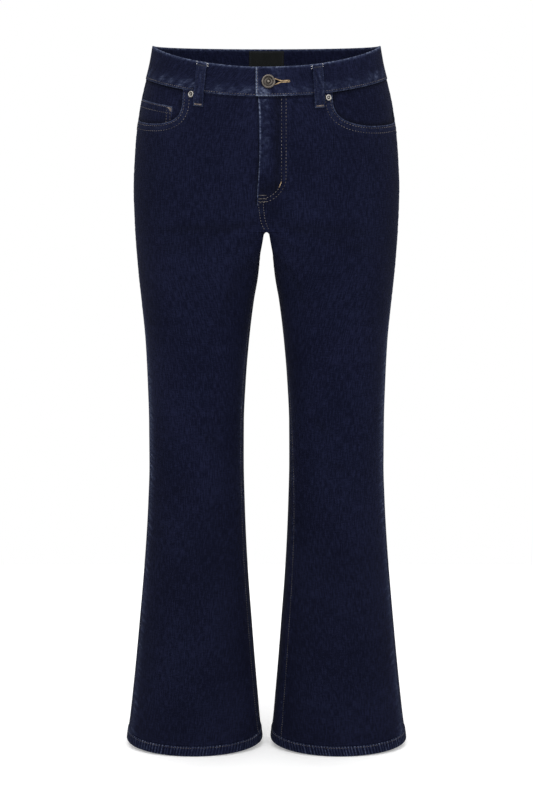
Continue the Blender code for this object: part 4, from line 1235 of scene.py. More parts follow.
def front_panel(word, side):
    girth, level = front_places(side)
    _, wear = leg_relief(side, girth, level, True)
    out = front_out(side, girth, level)
    dress(f"front_{word}", side, girth, level, out, DENIM, wear, inside=1.0)


BACK_SHARES = spread(0, 1, 0.008, 0.0125, 0.06)
YOKE_ROWS = 24
BACK_TOP_ROWS = 22
BACK_ROWS_FROM = -126 * MM  # a back panel's rows are level below here


def yoke(word, side):
    share = BACK_SHARES
    low = yoke_seam(share) + SEAM_GAP / 2
    high = WAIST_SEAM - SEAM_GAP
    level = np.array([high * (1 - t) + low * t for t in np.linspace(0, 1, YOKE_ROWS)])
    girth = back_girth(side, share, level)
    height, wear = yoke_relief(side, share[None, :], girth, level)
    dress(f"yoke_{word}", side, girth, level, height, DENIM, wear, inside=1.0, to_centre=True)


def back_panel(word, side):
    share = BACK_SHARES
    top = yoke_seam(share) - SEAM_GAP / 2
    lower = lower_levels()
    first = lower[lower < BACK_ROWS_FROM][0]
    upper = [top * (1 - t) + first * t for t in np.linspace(0, 1, BACK_TOP_ROWS)]
    level = np.array(upper + [np.full(len(share), one) for one in lower[lower < first]])
    girth = back_girth(side, share, level)
    height, wear = leg_relief(side, girth, level, False)
    below = yoke_seam(share)[None, :] - level
    ripple, rub = seam(below, girth, 12 + side, 6 * MM, 0.22 * MM, 0.30)
    dress(f"back_{word}", side, girth, level, height + ripple, DENIM, wear + rub, inside=1.0,
          to_centre=True)


def hem_relief(side, girth, level):
    """Ropes that slant across the turned hem, rubbed light on their crests, and with painted
    shade in their troughs.
    """
    up = (level - HEM_EDGE) / HEM_HEIGHT
    along = girth + 0.35 * (level - HEM_EDGE)
    rope = 0.6 * np.sin(along * 1400 + 1.4 * np.sin(along * 61 + side))
    rope = rope + 0.5 * waver(along * 1.7, 3.0 + side)
    belly = np.sin(np.pi * np.clip(up, 0, 1))
    height = 0.26 * MM * rope * (0.4 + 0.6 * belly)
    wear = 0.40 * np.clip(1.6 * rope + 0.2, 0, 1) * (0.6 + 0.6 * patchy(girth, level, 6.0 + side))
    # A little darker over the whole hem, and painted shade in the ropes' troughs.
    wear -= 0.04 + 0.5 * np.clip(-rope, 0, 1)
    wear += edge_wear(level - HEM_EDGE, girth, 7.0, 1.2 * MM, 0.26)
    wear += edge_wear(level - HEM_TOP, girth, 8.0, 0.9 * MM, 0.30)
    return height, wear


def hem_out(side, girth, level):
    return HEM_PROUD + hem_relief(side, girth, level)[0]


HEM_ROWS, HEM_COLUMNS = 9, 400


def hem(word, side):
    levels = np.linspace(HEM_TOP, HEM_EDGE, HEM_ROWS)[:, None]
    whole = full_girth(side, levels)
    girth = whole * np.arange(HEM_COLUMNS)[None, :] / HEM_COLUMNS
    level = np.repeat(levels, HEM_COLUMNS, axis=1)
    height, wear = hem_relief(side, girth, level)
    dress(f"hem_{word}", side, girth, level, HEM_PROUD + height, HEM_THICK, wear, inside=0.5,
          closed=True)


def band_lies(side, girth, level):
    """How far out the waistband's face lies, flatter where its ends lap."""
    whole = full_girth(LEFT, level)
    height, _ = band_relief(girth, level)
    under_tab = ramp(girth - 2 * whole, -UNDER_TAB, UNDER_DOWN - UNDER_TAB)
    at_closure = 1 - ramp(np.abs(girth - 8 * MM), 18 * MM, 34 * MM)
    return band_out(girth, whole) + height * (1 - under_tab) * (1 - 0.7 * at_closure)


BAND_ROWS, BAND_COLUMNS = 24, 420


def band_places():
    """Girths along the waistband from the tab's end to the underlap's, and its levels."""
    level = np.linspace(WAIST_TOP, WAIST_SEAM, BAND_ROWS)[:, None]
    ends = 2 * full_girth(LEFT, level[:, 0]) + UNDERLAP
    girth = np.linspace(-TAB_PAST, ends, BAND_COLUMNS, axis=1)
    return girth, np.repeat(level, BAND_COLUMNS, axis=1)


def waistband():
    girth, level = band_places()
    whole = full_girth(LEFT, level)
    _, wear = band_relief(girth, level)
    once_round = np.where(girth > 2 * whole, girth - 2 * whole, girth)
    out = band_lies(LEFT, girth, level)
    dress("waistband", LEFT, once_round, level, out, BAND_THICK, wear, wear_within=0.9,
          cut=cut_buttonhole)


def prism(name, outline, low, high, place):
    """A solid that stands out from the cloth, on an outline of (round, up) points."""
    points = [in_frame(place, x, y, out) for out in (low, high) for x, y in outline]
    n = len(outline)
    faces = [tuple(range(n))[::-1], tuple(range(n, 2 * n))]
    faces += [(i, (i + 1) % n, (i + 1) % n + n, i + n) for i in range(n)]
    return mesh_of_faces(name, points, faces)


def tab_frame():
    return frame_at(BUTTON_GIRTH, BUTTON_LEVEL, BAND_PROUD + TAB_RISE)


def slit_half(x):
    """Half the slit's width: it is spread beside the shank and closed at its end."""
    return SLIT_HALF * 0.5 + 3.5 * MM * (1 - ramp(x, 7 * MM, 18 * MM))


def half_round(radius, count):
    """The keyhole's round end, as (round, up) points."""
    turns = np.linspace(np.pi / 2, 3 * np.pi / 2, count)
    return [(radius * np.cos(a), radius * np.sin(a)) for a in turns]


def cut_buttonhole(band):
    """Cuts the keyhole through the tab, down to the underlap."""
    slit = np.linspace(0, BUTTONHOLE_END, 14)
    outline = half_round(slit_half(0), 17)
    outline += [(x, -slit_half(x)) for x in slit[1:]]
    outline += [(x, slit_half(x)) for x in slit[:0:-1]]
    cutter = prism("cutter", outline, -(BAND_THICK + 0.35 * MM), 2 * MM, tab_frame())
    cut = band.modifiers.new("buttonhole", "BOOLEAN")
    cut.operation = "DIFFERENCE"
    cut.solver = "EXACT"
    cut.object = cutter
    bpy.context.view_layer.update()
    seen = band.evaluated_get(bpy.context.evaluated_depsgraph_get())
    done = bpy.data.meshes.new_from_object(seen)
    band.modifiers.clear()
    old = band.data
    band.data = done
    bpy.data.meshes.remove(old)
    bpy.data.objects.remove(cutter)


LOOP_TOP = WAIST_TOP - 1.5 * MM
LOOP_BOTTOM = WAIST_SEAM - 22.5 * MM


def loop_out(level):
    """A loop's outer face: on the waistband at its top, clear of it in the middle, and
    down on the panel below the seam."""
    on_band = BAND_PROUD * ramp(level, WAIST_SEAM - 5 * MM, WAIST_SEAM - 0.5 * MM)
    ends = ramp(level, LOOP_TOP - 9 * MM, LOOP_TOP - 3 * MM)
    ends = ends + 1 - ramp(level, LOOP_BOTTOM + 4 * MM, LOOP_BOTTOM + 11 * MM)
    gap = LOOP_GAP * (1 - ends) + 0.4 * MM * ends
    return on_band + gap + LOOP_THICK


BeltLoop = namedtuple("BeltLoop", "side top bottom")
# Girths of each loop's middle at its top and bottom, in millimetres. The one with
# none is at the centre back.
BELT_LOOPS = {
    "belt_loop_front_left": BeltLoop(LEFT, 69, 72.5),
    "belt_loop_front_right": BeltLoop(RIGHT, 88, 94),
    "belt_loop_side_left": BeltLoop(LEFT, 257, 273),
    "belt_loop_side_right": BeltLoop(RIGHT, 257, 273),
    "belt_loop_back": BeltLoop(LEFT, None, None),
}


def loop_middle(loop, level):
    if loop.top is None:
        return full_girth(loop.side, level)
    return np.interp(level, [LOOP_BOTTOM, LOOP_TOP], [loop.bottom * MM, loop.top * MM])


def loop_lies(level, aside):
    """How far out a loop's face lies: a little hollow along its middle."""
    hollow = 0.22 * MM * bell(aside, 3.2 * MM)
    pucker = 0.10 * MM * waver(level, 3.0) * (np.abs(aside) > 2.5 * MM)
    return loop_out(level) - hollow + pucker + 0.12 * MM


LOOP_ROWS, LOOP_COLUMNS = 48, 15


def belt_loop(name, loop):
    level = np.linspace(LOOP_TOP, LOOP_BOTTOM, LOOP_ROWS)[:, None]
    aside = np.linspace(-LOOP_WIDTH / 2, LOOP_WIDTH / 2, LOOP_COLUMNS)[None, :]
    girth = loop_middle(loop, level) + aside
    level, aside = np.broadcast_arrays(level, aside)
    wear = 0.04 + edge_wear(LOOP_WIDTH / 2 - np.abs(aside), level, 4.0, 0.9 * MM, 0.12)
    wear += 0.20 * patchy(aside * 5, level * 0.8, 5.0 + loop.side) ** 2
    wear += edge_wear(LOOP_TOP - level, girth, 5.0, 1.6 * MM, 0.5)
    wear += edge_wear(level - LOOP_BOTTOM, girth, 6.0, 1.4 * MM, 0.3)
    dress(name, loop.side, girth, level, loop_lies(level, aside), LOOP_THICK, wear,
          held="stretched")


FACING_UNDER = -2.9 * MM  # the facing's face where a front panel covers it
FACING_REACH = 18 * MM
FACING_SHOWN = {LEFT: -0.5 * MM, RIGHT: -1.8 * MM}  # and beside the side seam


def facing_out(side, girth, level):
    """The facing dips under the mouth's edge and comes up beside the side seam."""
    mouth = POCKET_MOUTH[side]
    seam = side_seam(side, level)
    in_from_seam = np.clip((seam - girth) / (seam - mouth.start), 0, 1.5)
    down = np.clip((WAIST_SEAM - level) / mouth.drop, 0, 1.5)
    toward_edge = (in_from_seam**mouth.power + down**mouth.power) ** (1 / mouth.power)
    shown = 1 - ramp(toward_edge, 0.45, 0.86)
    return FACING_UNDER + (FACING_SHOWN[side] - FACING_UNDER) * shown


CoinPocket = namedtuple("CoinPocket", "inner drop_inner drop_side under")
# Metres: the girth of its free edge, the drops of its top from the waistband at that
# edge and at the side seam, and how far it goes on below the mouth's edge.
COIN_POCKET = CoinPocket(136 * MM, 28 * MM, 27 * MM, 12 * MM)
COIN_THICK = 1.0 * MM
COIN_GAP = 0.35 * MM


FACING_ROWS, FACING_COLUMNS = 36, 52


def pocket_facing(word, side):
    mouth = POCKET_MOUTH[side]
    low = WAIST_SEAM - mouth.drop - FACING_REACH
    levels = np.linspace(WAIST_SEAM - SEAM_GAP, low, FACING_ROWS)[:, None]
    level = np.repeat(levels, FACING_COLUMNS, axis=1)
    share = np.linspace(0, 1, FACING_COLUMNS)[None, :]
    high = side_seam(side, level) - SEAM_GAP / 2
    girth = mouth.start - FACING_REACH + (high - mouth.start + FACING_REACH) * share
    _, wear = together([
        seam(high - girth, level, 4 + side, 8 * MM, 0, 0.22),
        seam(WAIST_SEAM - level, girth, 6 + side, 5 * MM, 0, 0.25),
    ])
    # Painted shade under the waistband and along the mouth's edge, where the front panel stands
    # over the facing.
    dark = bell(WAIST_SEAM - level, 4 * MM) + bell(mouth_distance(side, girth, level), 5 * MM)
    dress(f"pocket_facing_{word}", side, girth, level, facing_out(side, girth, level),
          FACING_THICK, wear - 0.6 * dark, inside=1.0)


def coin_lies(side, girth, level):
    return facing_out(RIGHT, girth, level) + COIN_GAP + COIN_THICK


def coin_top(share):
    p = COIN_POCKET
    return WAIST_SEAM - p.drop_inner + (p.drop_inner - p.drop_side) * share


def coin_pocket():
    p = COIN_POCKET
    bottom = WAIST_SEAM - POCKET_MOUTH[RIGHT].drop - p.under
    share = np.linspace(0, 1, 44)[None, :]
    top = coin_top(share)
    level = np.array([top[0] * (1 - t) + bottom * t for t in np.linspace(0, 1, 26)])
    high = side_seam(RIGHT, level) - SEAM_GAP / 2
    girth = p.inner + (high - p.inner) * share
    wear = edge_wear(top - level, girth, 2.0, 1.2 * MM, 0.54) + 0.02
    wear += edge_wear(girth - p.inner, level, 3.0, 1.0 * MM, 0.30)
    wear += 0.24 * bell(top - level, 8 * MM) * patchy(girth, level, 3.0) ** 2
    # Painted shade beside the pocket mouth's edge, under the front panel.
    wear -= 0.5 * bell(mouth_distance(RIGHT, girth, level), 5 * MM)
    dress("coin_pocket", RIGHT, girth, level, coin_lies(RIGHT, girth, level), COIN_THICK, wear)


BackPocket = namedtuple("BackPocket", "top inner_top inner_bottom width bottom_width depth point")
# Millimetres: the level of its top, the distances of its inner edge from the centre,
# its widths along the cloth, and its depth to the corners and to the point below them.
BACK_POCKET = BackPocket(*(x * MM for x in (-106, 46, 53, 132, 112, 118, 17)))
POCKET_OUT = 1.9 * MM
POCKET_SKEW = 6 * MM  # the top's outer corner is higher than its inner one


def back_pocket_place(side, share, t):
    """Girths and levels of places on a back pocket: share goes across it from its
    outer edge to its inner one, and t down it."""
    p = BACK_POCKET
    share, t = np.broadcast_arrays(np.asarray(share, float), np.asarray(t, float))
    top = p.top + POCKET_SKEW * (0.5 - share)
    bottom = p.top - p.depth - p.point * (1 - np.abs(2 * share - 1))
    level = top * (1 - t) + bottom * t
    width = p.width + (p.bottom_width - p.width) * t
    distance = p.inner_top + (p.inner_bottom - p.inner_top) * t
    edge = behind_at(side, distance.ravel(), level.ravel()).reshape(share.shape)
    return edge - width * (1 - share), level


def behind_at(side, distance, level):
    """The girths of the back where it is a given distance from the centre."""
    angle = np.linspace(np.pi, np.pi / 4, 91)
    away = across(angle[None, :], level[:, None], BACK_PARTS)
    found = np.array([np.interp(d, row, angle) for d, row in zip(distance, away)])
    return girth_at(side, found, level)


def pocket_lies(side, girth, level):
    return POCKET_OUT + 0.16 * MM + 0.12 * MM * waver(girth + level, 2.0 + side)


POCKET_ROWS, POCKET_COLUMNS = 48, 46


def back_pocket(word, side):
    share, t = np.meshgrid(np.linspace(0, 1, POCKET_COLUMNS), np.linspace(0, 1, POCKET_ROWS))
    girth, level = back_pocket_place(side, share, t)
    down = t * BACK_POCKET.depth
    nearest = np.minimum(np.minimum(share, 1 - share) * BACK_POCKET.width,
                         (1 - t) * BACK_POCKET.depth)
    _, wear = seam(np.minimum(nearest, down), girth + level, 5.0 + side, 9 * MM, 0, 0.30)
    wear += edge_wear(nearest, girth + level, 3.0 + side, 1.5 * MM, 0.46)
    wear += edge_wear(down, girth, 4.0 + side, 1.5 * MM, 0.56)
    dress(f"back_pocket_{word}", side, girth, level, pocket_lies(side, girth, level),
          FACING_THICK, wear)


Strip = namedtuple("Strip", "low high top bottom out thick rounded")
# The cloth strips behind the fly, in millimetres: two distances from the centre front, the
# top's drop from the waistband, the bottom's height above the fly's end, how far out
# the strip lies, its thickness, and over what height its far edge curves in.
STRIPS = {
    "fly_shield": Strip(-24, 30, 0.6, 8, -3.7, 1.2, 30),
    "zip": Strip(-9, 21, 12.6, 20, -2.1, 1.0, 0),
}
STRIP_NARROWS = 0.6  # the share of its width that a rounded strip loses


def strip_places(name, rows, columns):
    strip = STRIPS[name]
    low, high = strip.low * MM, strip.high * MM
    top, bottom = WAIST_SEAM - strip.top * MM, FLY_END + strip.bottom * MM
    levels = np.linspace(top, bottom, rows)[:, None]
    edge = np.full((rows, 1), high)
    if strip.rounded:
        near_end = ramp(-levels, -bottom - strip.rounded * MM, -bottom)
        edge = edge - (high - low) * STRIP_NARROWS * near_end
    girth = low + (edge - low) * np.linspace(0, 1, columns)[None, :]
    return girth, np.repeat(levels, columns, axis=1), strip


def closure():
    """The shield and the closed zip behind the fly's flap."""
    girth, level, strip = strip_places("fly_shield", 60, 18)
    dress("fly_shield", LEFT, girth, level, strip.out * MM, strip.thick * MM, 0.1)
    girth, level, strip = strip_places("zip", 60, 14)
    dress("zip", LEFT, girth, level, strip.out * MM, strip.thick * MM, 0.0, TAPE_WEAVE,
          "tape_cloth", name="zip_tape")
    zip_teeth(strip)
    zip_slider()


ZIP_MIDDLE = 6 * MM
TOOTH_PITCH = 1.5 * MM


def zip_teeth(strip):
    """Closed teeth that mesh along the middle of the tape."""
    top, bottom = WAIST_SEAM - strip.top * MM, FLY_END + strip.bottom * MM
    level = np.arange(top - 1.5 * MM, bottom + 3 * MM, -TOOTH_PITCH)
    teeth = Thread("zip_teeth", METAL, "aged_metal")
    for hand in (-1, 1):
        at_level = level - (TOOTH_PITCH / 2 if hand > 0 else 0)
        near = np.full(len(level), ZIP_MIDDLE - hand * 0.6 * MM)
        far = np.full(len(level), ZIP_MIDDLE + hand * 2.2 * MM)
        lies = strip.out * MM + 0.12 * MM
        start, normal = with_normal(LEFT, near, at_level, lies)
        teeth.bars(start, surface(LEFT, far, at_level, lies), normal, 0.42 * MM)
    teeth.build()


SLIDER_DROP = 6.7 * MM  # from the waistband's seam
SLIDER_SIZE = np.array([8, 9.5, 1.0]) * MM
SLIDER_ROUND = 0.35 * MM  # its edges
SLIDER_BASE = -3.1 * MM  # how far out its back lies


def zip_slider():
    """The slider's body at the top of the closed zip, a block with rounded edges."""
    place = frame_at(ZIP_MIDDLE, WAIST_SEAM - SLIDER_DROP, SLIDER_BASE)
    corners = [(x, y, z) for z in (0, 1) for y in (-0.5, 0.5) for x in (-0.5, 0.5)]
    points = [in_frame(place, *(np.array(corner) * SLIDER_SIZE)) for corner in corners]
    faces = [(0, 2, 3, 1), (4, 5, 7, 6), (0, 1, 5, 4), (2, 6, 7, 3), (0, 4, 6, 2), (1, 3, 7, 5)]
    body = mesh_of_faces("zip_slider_body", points, faces, METAL, np.full(8, 0.5))
    edges = body.modifiers.new("rounded", "BEVEL")
    edges.width, edges.segments = SLIDER_ROUND, 3
    keep(body, "aged_metal", "zip_slider")


LABEL_WIDTH = 51 * MM
LABEL_HEIGHT = 32 * MM
LABEL_DROP = 2.5 * MM
LABEL_GAP = 0.4 * MM
LABEL_OUT = BAND_PROUD - BAND_THICK - LABEL_GAP


def label_place(across_by, down_by):
    level = WAIST_TOP - LABEL_DROP - np.asarray(down_by, float)
    return full_girth(LEFT, level) + np.asarray(across_by, float), level


def waist_label():
    across_by, down_by = np.meshgrid(np.linspace(-LABEL_WIDTH / 2, LABEL_WIDTH / 2, 27),
                                     np.linspace(0, LABEL_HEIGHT, 17))
    girth, level = label_place(across_by, down_by)
    from_end = np.minimum(down_by, LABEL_HEIGHT - down_by)
    inner = np.minimum(LABEL_WIDTH / 2 - np.abs(across_by), from_end)
    wear = 0.10 * bell(inner, 0.8 * MM, 1.6 * MM)
    dress("waist_label", LEFT, girth, level, LABEL_OUT, LABEL_THICK, wear, LABEL_WEAVE,
          "label_cloth")


# ---------------------------------------------------------------------------------------
# The metal


def turned(name, profile, place, sides, finish):
    """A solid turned about the outward direction from (radius, out, high) rows, the first
    and last of which are points; high is how rubbed the metal is there."""
    points, high = [], []
    for number, (radius, out, lighter_by) in enumerate(profile):
        for k in range(sides if 0 < number < len(profile) - 1 else 1):
            a = 2 * np.pi * k / sides
            points.append(in_frame(place, radius * np.cos(a), radius * np.sin(a), out))
            high.append(lighter_by)
    last, rings = len(points) - 1, len(profile) - 2
    faces = []
    for k in range(sides):
        n = (k + 1) % sides
        faces.append((0, 1 + k, 1 + n))
        for r in range(rings - 1):
            a, b = 1 + r * sides, 1 + (r + 1) * sides
            faces.append((a + k, b + k, b + n, a + n))
        top = 1 + (rings - 1) * sides
        faces.append((last, top + n, top + k))
    made = mesh_of_faces(name, points, faces, finish, high)
    made.data.set_sharp_from_angle(angle=SHARP)
    return made


# Rows from the middle outward: share of the radius, millimetres out, and how rubbed.
BUTTON_PROFILE = [
    (0, 3.45, 2.2), (0.11, 3.4, 2.0), (0.17, 3.05, 0.9), (0.22, 2.45, 0.1),
    (0.30, 2.2, 0.05), (0.38, 2.25, 0.2), (0.43, 2.5, 0.45), (0.48, 2.55, 0.45),
    (0.53, 2.3, 0.15), (0.60, 2.15, 0.05), (0.66, 2.3, 0.1), (0.72, 2.8, 0.35),
    (0.79, 3.1, 0.5), (0.87, 3.1, 0.68), (0.94, 2.85, 0.66), (0.985, 2.4, 0.5),
    (1.0, 1.9, 0.3), (0.99, 1.2, 0.15), (0.96, 0.8, 0.0),
]
RIVET_PROFILE = [
    (0, 1.65, 0.9), (0.12, 1.6, 0.8), (0.22, 1.3, 0.3), (0.32, 0.95, 0.0),
    (0.42, 0.9, 0.0), (0.52, 1.15, 0.4), (0.62, 1.5, 0.95), (0.74, 1.55, 1.0),
    (0.86, 1.3, 0.85), (0.95, 0.85, 0.6), (1.0, 0.35, 0.3), (0.98, 0.02, 0.1),
    (0, 0.0, 0),
]


BUTTON_SIDES, RIVET_SIDES = 64, 40
SHARP = np.radians(58)  # a sharper edge than this keeps its crease


def scaled_profile(rows, radius):
    return [(share * radius, out * MM, high) for share, out, high in rows]


def button():
    """A shank button with a rolled rim, two rings and a small crown."""
    foot = -(BAND_THICK + 0.1 * MM)
    profile = scaled_profile(BUTTON_PROFILE, BUTTON_RADIUS)
    profile += [(SHANK_RADIUS, 0.55 * MM, 0), (SHANK_RADIUS, foot, 0), (0, foot, 0)]
    metal = turned("button_metal", profile, tab_frame(), BUTTON_SIDES, METAL)
    keep(metal, "aged_metal", "button")


Rivet = namedtuple("Rivet", "side girth drop")
# Millimetres; drop is from the waistband.
RIVETS = {
    "rivet_left": Rivet(LEFT, 85, 8),
    "rivet_right": Rivet(RIGHT, 105, 5.5),
}


def rivet(name, side, girth, level):
    """A cap with a raised ring round a pricked middle."""
    centre, away = with_normal(side, girth, level, 0.4 * MM)
    away = unit(away)
    round_it = unit(np.cross([0.0, 0.0, 1.0], away))
    place = (centre, round_it, np.cross(away, round_it), away)
    profile = scaled_profile(RIVET_PROFILE, RIVET_RADIUS)
    metal = turned(f"{name}_metal", profile, place, RIVET_SIDES, RIVET_METAL)
    keep(metal, "aged_metal", name)


# ---------------------------------------------------------------------------------------
# The sewing

# How far each pair of rows lies from the edge or seam that it holds, in millimetres.
ROWS = {
    "mouth": (3.0, 10.2),
    "centre_front": (1.8, 8.0),
    "yoke": (2.0, 8.0),
    "seat": (2.0, 8.2),
    "back_pocket_edge": (1.8, 8.0),
    "back_pocket_top": (2.2, 11.5),
    "coin_edge": (3.0, 9.6),
    "coin_top": (2.0, 10.4),
}


def rows_at(place):
    return [distance * MM for distance in ROWS[place]]


def mouth_row(side, offset):
    """Places at a distance outside the pocket mouth, from the waistband to the seam."""
    girth, level = mouth_curve(side)
    slope_g, slope_h = np.gradient(girth), np.gradient(level)
    length = np.hypot(slope_g, slope_h)
    girth, level = girth + slope_h / length * -offset, level + slope_g / length * offset
    inside = (level < WAIST_SEAM - 1.5 * MM) & (girth < side_seam(side, level) - 2 * MM)
    return girth[inside], level[inside]


def j_row(girth, turn_level, end_level):
    """Down beside the fly, then round to its edge."""
    straight = np.linspace(WAIST_SEAM - 3 * MM, turn_level, 40)
    t = np.linspace(0, np.pi / 2, 24)[1:]
    edge = -10.5 * MM
    curve_g = edge + (girth - edge) * np.cos(t) ** 0.9
    curve_h = turn_level - (turn_level - end_level) * np.sin(t) ** 1.25
    return (np.concatenate([np.full(len(straight), girth), curve_g]),
            np.concatenate([straight, curve_h]))


def sew_front():
    """Rows beside the pocket mouths, the inseams, the fly and the centre seam."""
    thread = Thread("sewing_front", TAN_THREAD)
    for side in (LEFT, RIGHT):
        for offset in rows_at("mouth"):
            thread.row(side, *mouth_row(side, offset), front_out, pitch=4.4 * MM, gap=0.50)
        level = np.linspace(CROTCH - 40 * MM, LEG_BOTTOM, 300)
        thread.row(side, 2.2 * MM, level, front_out, radius=0.24 * MM)
    for girth, turn_level, end_level in ((J_INNER, -160, -185.5), (J_OUTER, -158, -191)):
        path = j_row(girth, turn_level * MM, end_level * MM)
        thread.row(LEFT, *path, front_out, pitch=4.6 * MM, radius=0.32 * MM, gap=0.50)
    level = np.linspace(FLY_END - 2 * MM, CROTCH + 4 * MM, 120)
    for offset in rows_at("centre_front"):
        thread.row(LEFT, front_inner_edge(LEFT, level) + offset, level, front_out)
    thread.build()


def sew_band():
    """One row above the waistband's seam and one along the tab's end."""
    thread = Thread("sewing_waistband", TAN_THREAD)
    start = -TAB_PAST + 2.2 * MM
    end = 2 * float(full_girth(LEFT, WAIST_SEAM)) - TAB_PAST - 1.0 * MM
    thread.row(LEFT, np.linspace(start, end, 900), WAIST_SEAM + 2.6 * MM, band_lies)
    level = np.linspace(WAIST_SEAM + 3 * MM, WAIST_TOP - 3 * MM, 30)
    thread.row(LEFT, start, level, band_lies)
    thread.build()


def sew_back():
    """Rows at the yokes and the centre seam."""
    thread = Thread("sewing_back", TAN_THREAD)
    share = np.linspace(0.012, 0.99, 160)

    def yoke_lies(side, girth, level):
        return 0.10 * MM + 0 * girth

    for side in (LEFT, RIGHT):
        for above in rows_at("yoke"):
            level = yoke_seam(share) + above
            thread.row(side, back_girth(side, share, level), level, yoke_lies)
    yoke_end = WAIST_SEAM - YOKE_CENTRE_DROP
    for offset in rows_at("seat"):
        level = np.linspace(WAIST_SEAM - 2 * MM, yoke_end, 60)
        thread.row(LEFT, full_girth(LEFT, level) - offset, level, yoke_lies)
        level = np.linspace(yoke_end - 2 * MM, CROTCH + 4 * MM, 150)
        thread.row(LEFT, full_girth(LEFT, level) - offset, level, back_out)
    for side in (LEFT, RIGHT):
        sew_back_pocket(thread, side)
    thread.build()


def sew_back_pocket(thread, side):
    """Two rows round a back pocket, and two along its top."""
    def row(share, t):
        thread.row(side, *back_pocket_place(side, share, t), pocket_lies)

    for inset in rows_at("back_pocket_edge"):
        s, u = inset / BACK_POCKET.width, inset / BACK_POCKET.depth
        down = np.linspace(0.01, 1 - u, 60)
        row(s, down)
        row(1 - s, down)
        row(np.linspace(s, 1 - s, 80), 1 - u)
    for drop in rows_at("back_pocket_top"):
        row(np.linspace(0.02, 0.98, 80), drop / BACK_POCKET.depth)


def sew_coin():
    thread = Thread("sewing_coin_pocket", TAN_THREAD)
    p = COIN_POCKET
    bottom = WAIST_SEAM - POCKET_MOUTH[RIGHT].drop + 5 * MM
    for offset in rows_at("coin_edge"):
        level = np.linspace(coin_top(0.0) - 1 * MM, bottom, 30)
        thread.row(RIGHT, p.inner + offset, level, coin_lies)
    for drop in rows_at("coin_top"):
        share = np.linspace(0.02, 0.98, 60)
        level = coin_top(share) - drop
        high = side_seam(RIGHT, level)
        thread.row(RIGHT, p.inner + (high - p.inner) * share, level, coin_lies)
    thread.build()


def sew_hems():
    thread = Thread("sewing_hems", TAN_THREAD)
    for side in (LEFT, RIGHT):
        girth = np.linspace(0, float(full_girth(side, HEM_TOP)), 500)
        thread.row(side, girth, HEM_TOP - 1.6 * MM, hem_out, radius=0.26 * MM, gap=0.42)
    thread.build()


def sew_loops():
    rows = Thread("sewing_belt_loops", NAVY_THREAD)
    tacks = Thread("tacks_belt_loops", RUST_THREAD)
    frays = Thread("frays_belt_loops", PALE_THREAD)
    for number, loop in enumerate(BELT_LOOPS.values()):

        def lies(side, girth, level, loop=loop):
            return loop_lies(level, girth - loop_middle(loop, level))

        level = np.linspace(LOOP_TOP - 2 * MM, LOOP_BOTTOM + 2 * MM, 60)
        for aside in (-3.6 * MM, 3.6 * MM):
            girth = loop_middle(loop, level) + aside
            rows.row(loop.side, girth, level, lies, pitch=3.0 * MM, radius=0.22 * MM)
        for at, kind in ((LOOP_TOP - 4.5 * MM, rows), (LOOP_BOTTOM + 2.6 * MM, tacks)):
            middle = float(loop_middle(loop, at))
            kind.tack(loop.side, middle, at, lies, 10.5 * MM, 2.6 * MM, radius=0.32 * MM)
        fray(frays, loop, number)
    for piece in (rows, tacks, frays):
        piece.build()


def fray(frays, loop, number):
    """Short loose yarns at a loop's top corners."""
    for hand in (-1, 1):
        for k in range(6):
            turn_by = number * 2.1 + k * 1.7 + hand
            steps = np.linspace(0, 1, 6)
            girth = loop_middle(loop, LOOP_TOP) + hand * (LOOP_WIDTH / 2 - 0.6 * MM)
            girth = girth + hand * steps * (1.6 + 0.7 * np.sin(turn_by)) * MM
            girth = girth + 0.5 * MM * np.sin(steps * 4 + turn_by)
            level = LOOP_TOP + (0.6 - 1.0 * k) * MM - steps * (1.2 + np.cos(turn_by)) * MM
            out = loop_out(LOOP_TOP) - LOOP_THICK * 0.4 + steps * 0.3 * MM
            frays.path(loop.side, girth, level, out, 0.30 * MM)


def sew_tacks():
    """Bar tacks at the fly, the pocket mouths and the coin pocket."""
    tan = Thread("tacks_front", TAN_THREAD)
    for level in (-180.5 * MM, -185.5 * MM, -189.5 * MM):
        tan.tack(LEFT, -5.5 * MM, level, front_out, 11 * MM, 0.9 * MM)
    for side in (LEFT, RIGHT):
        mouth = POCKET_MOUTH[side]
        level = WAIST_SEAM - mouth.drop - 7 * MM
        girth = float(side_seam(side, level)) - 4.5 * MM
        tan.tack(side, girth, level, front_out, 1.6 * MM, 9 * MM)
    tan.build()
    rust = Thread("tack_coin_pocket", RUST_THREAD)
    for k in range(4):
        girth = COIN_POCKET.inner + (4.4 - 0.7 * k) * MM
        level = coin_top(0.0) - (2.4 + 1.5 * k) * MM
        rust.tack(RIGHT, girth, level, coin_lies, (7.2 - 1.5 * k) * MM, 1.7 * MM)
    rust.build()


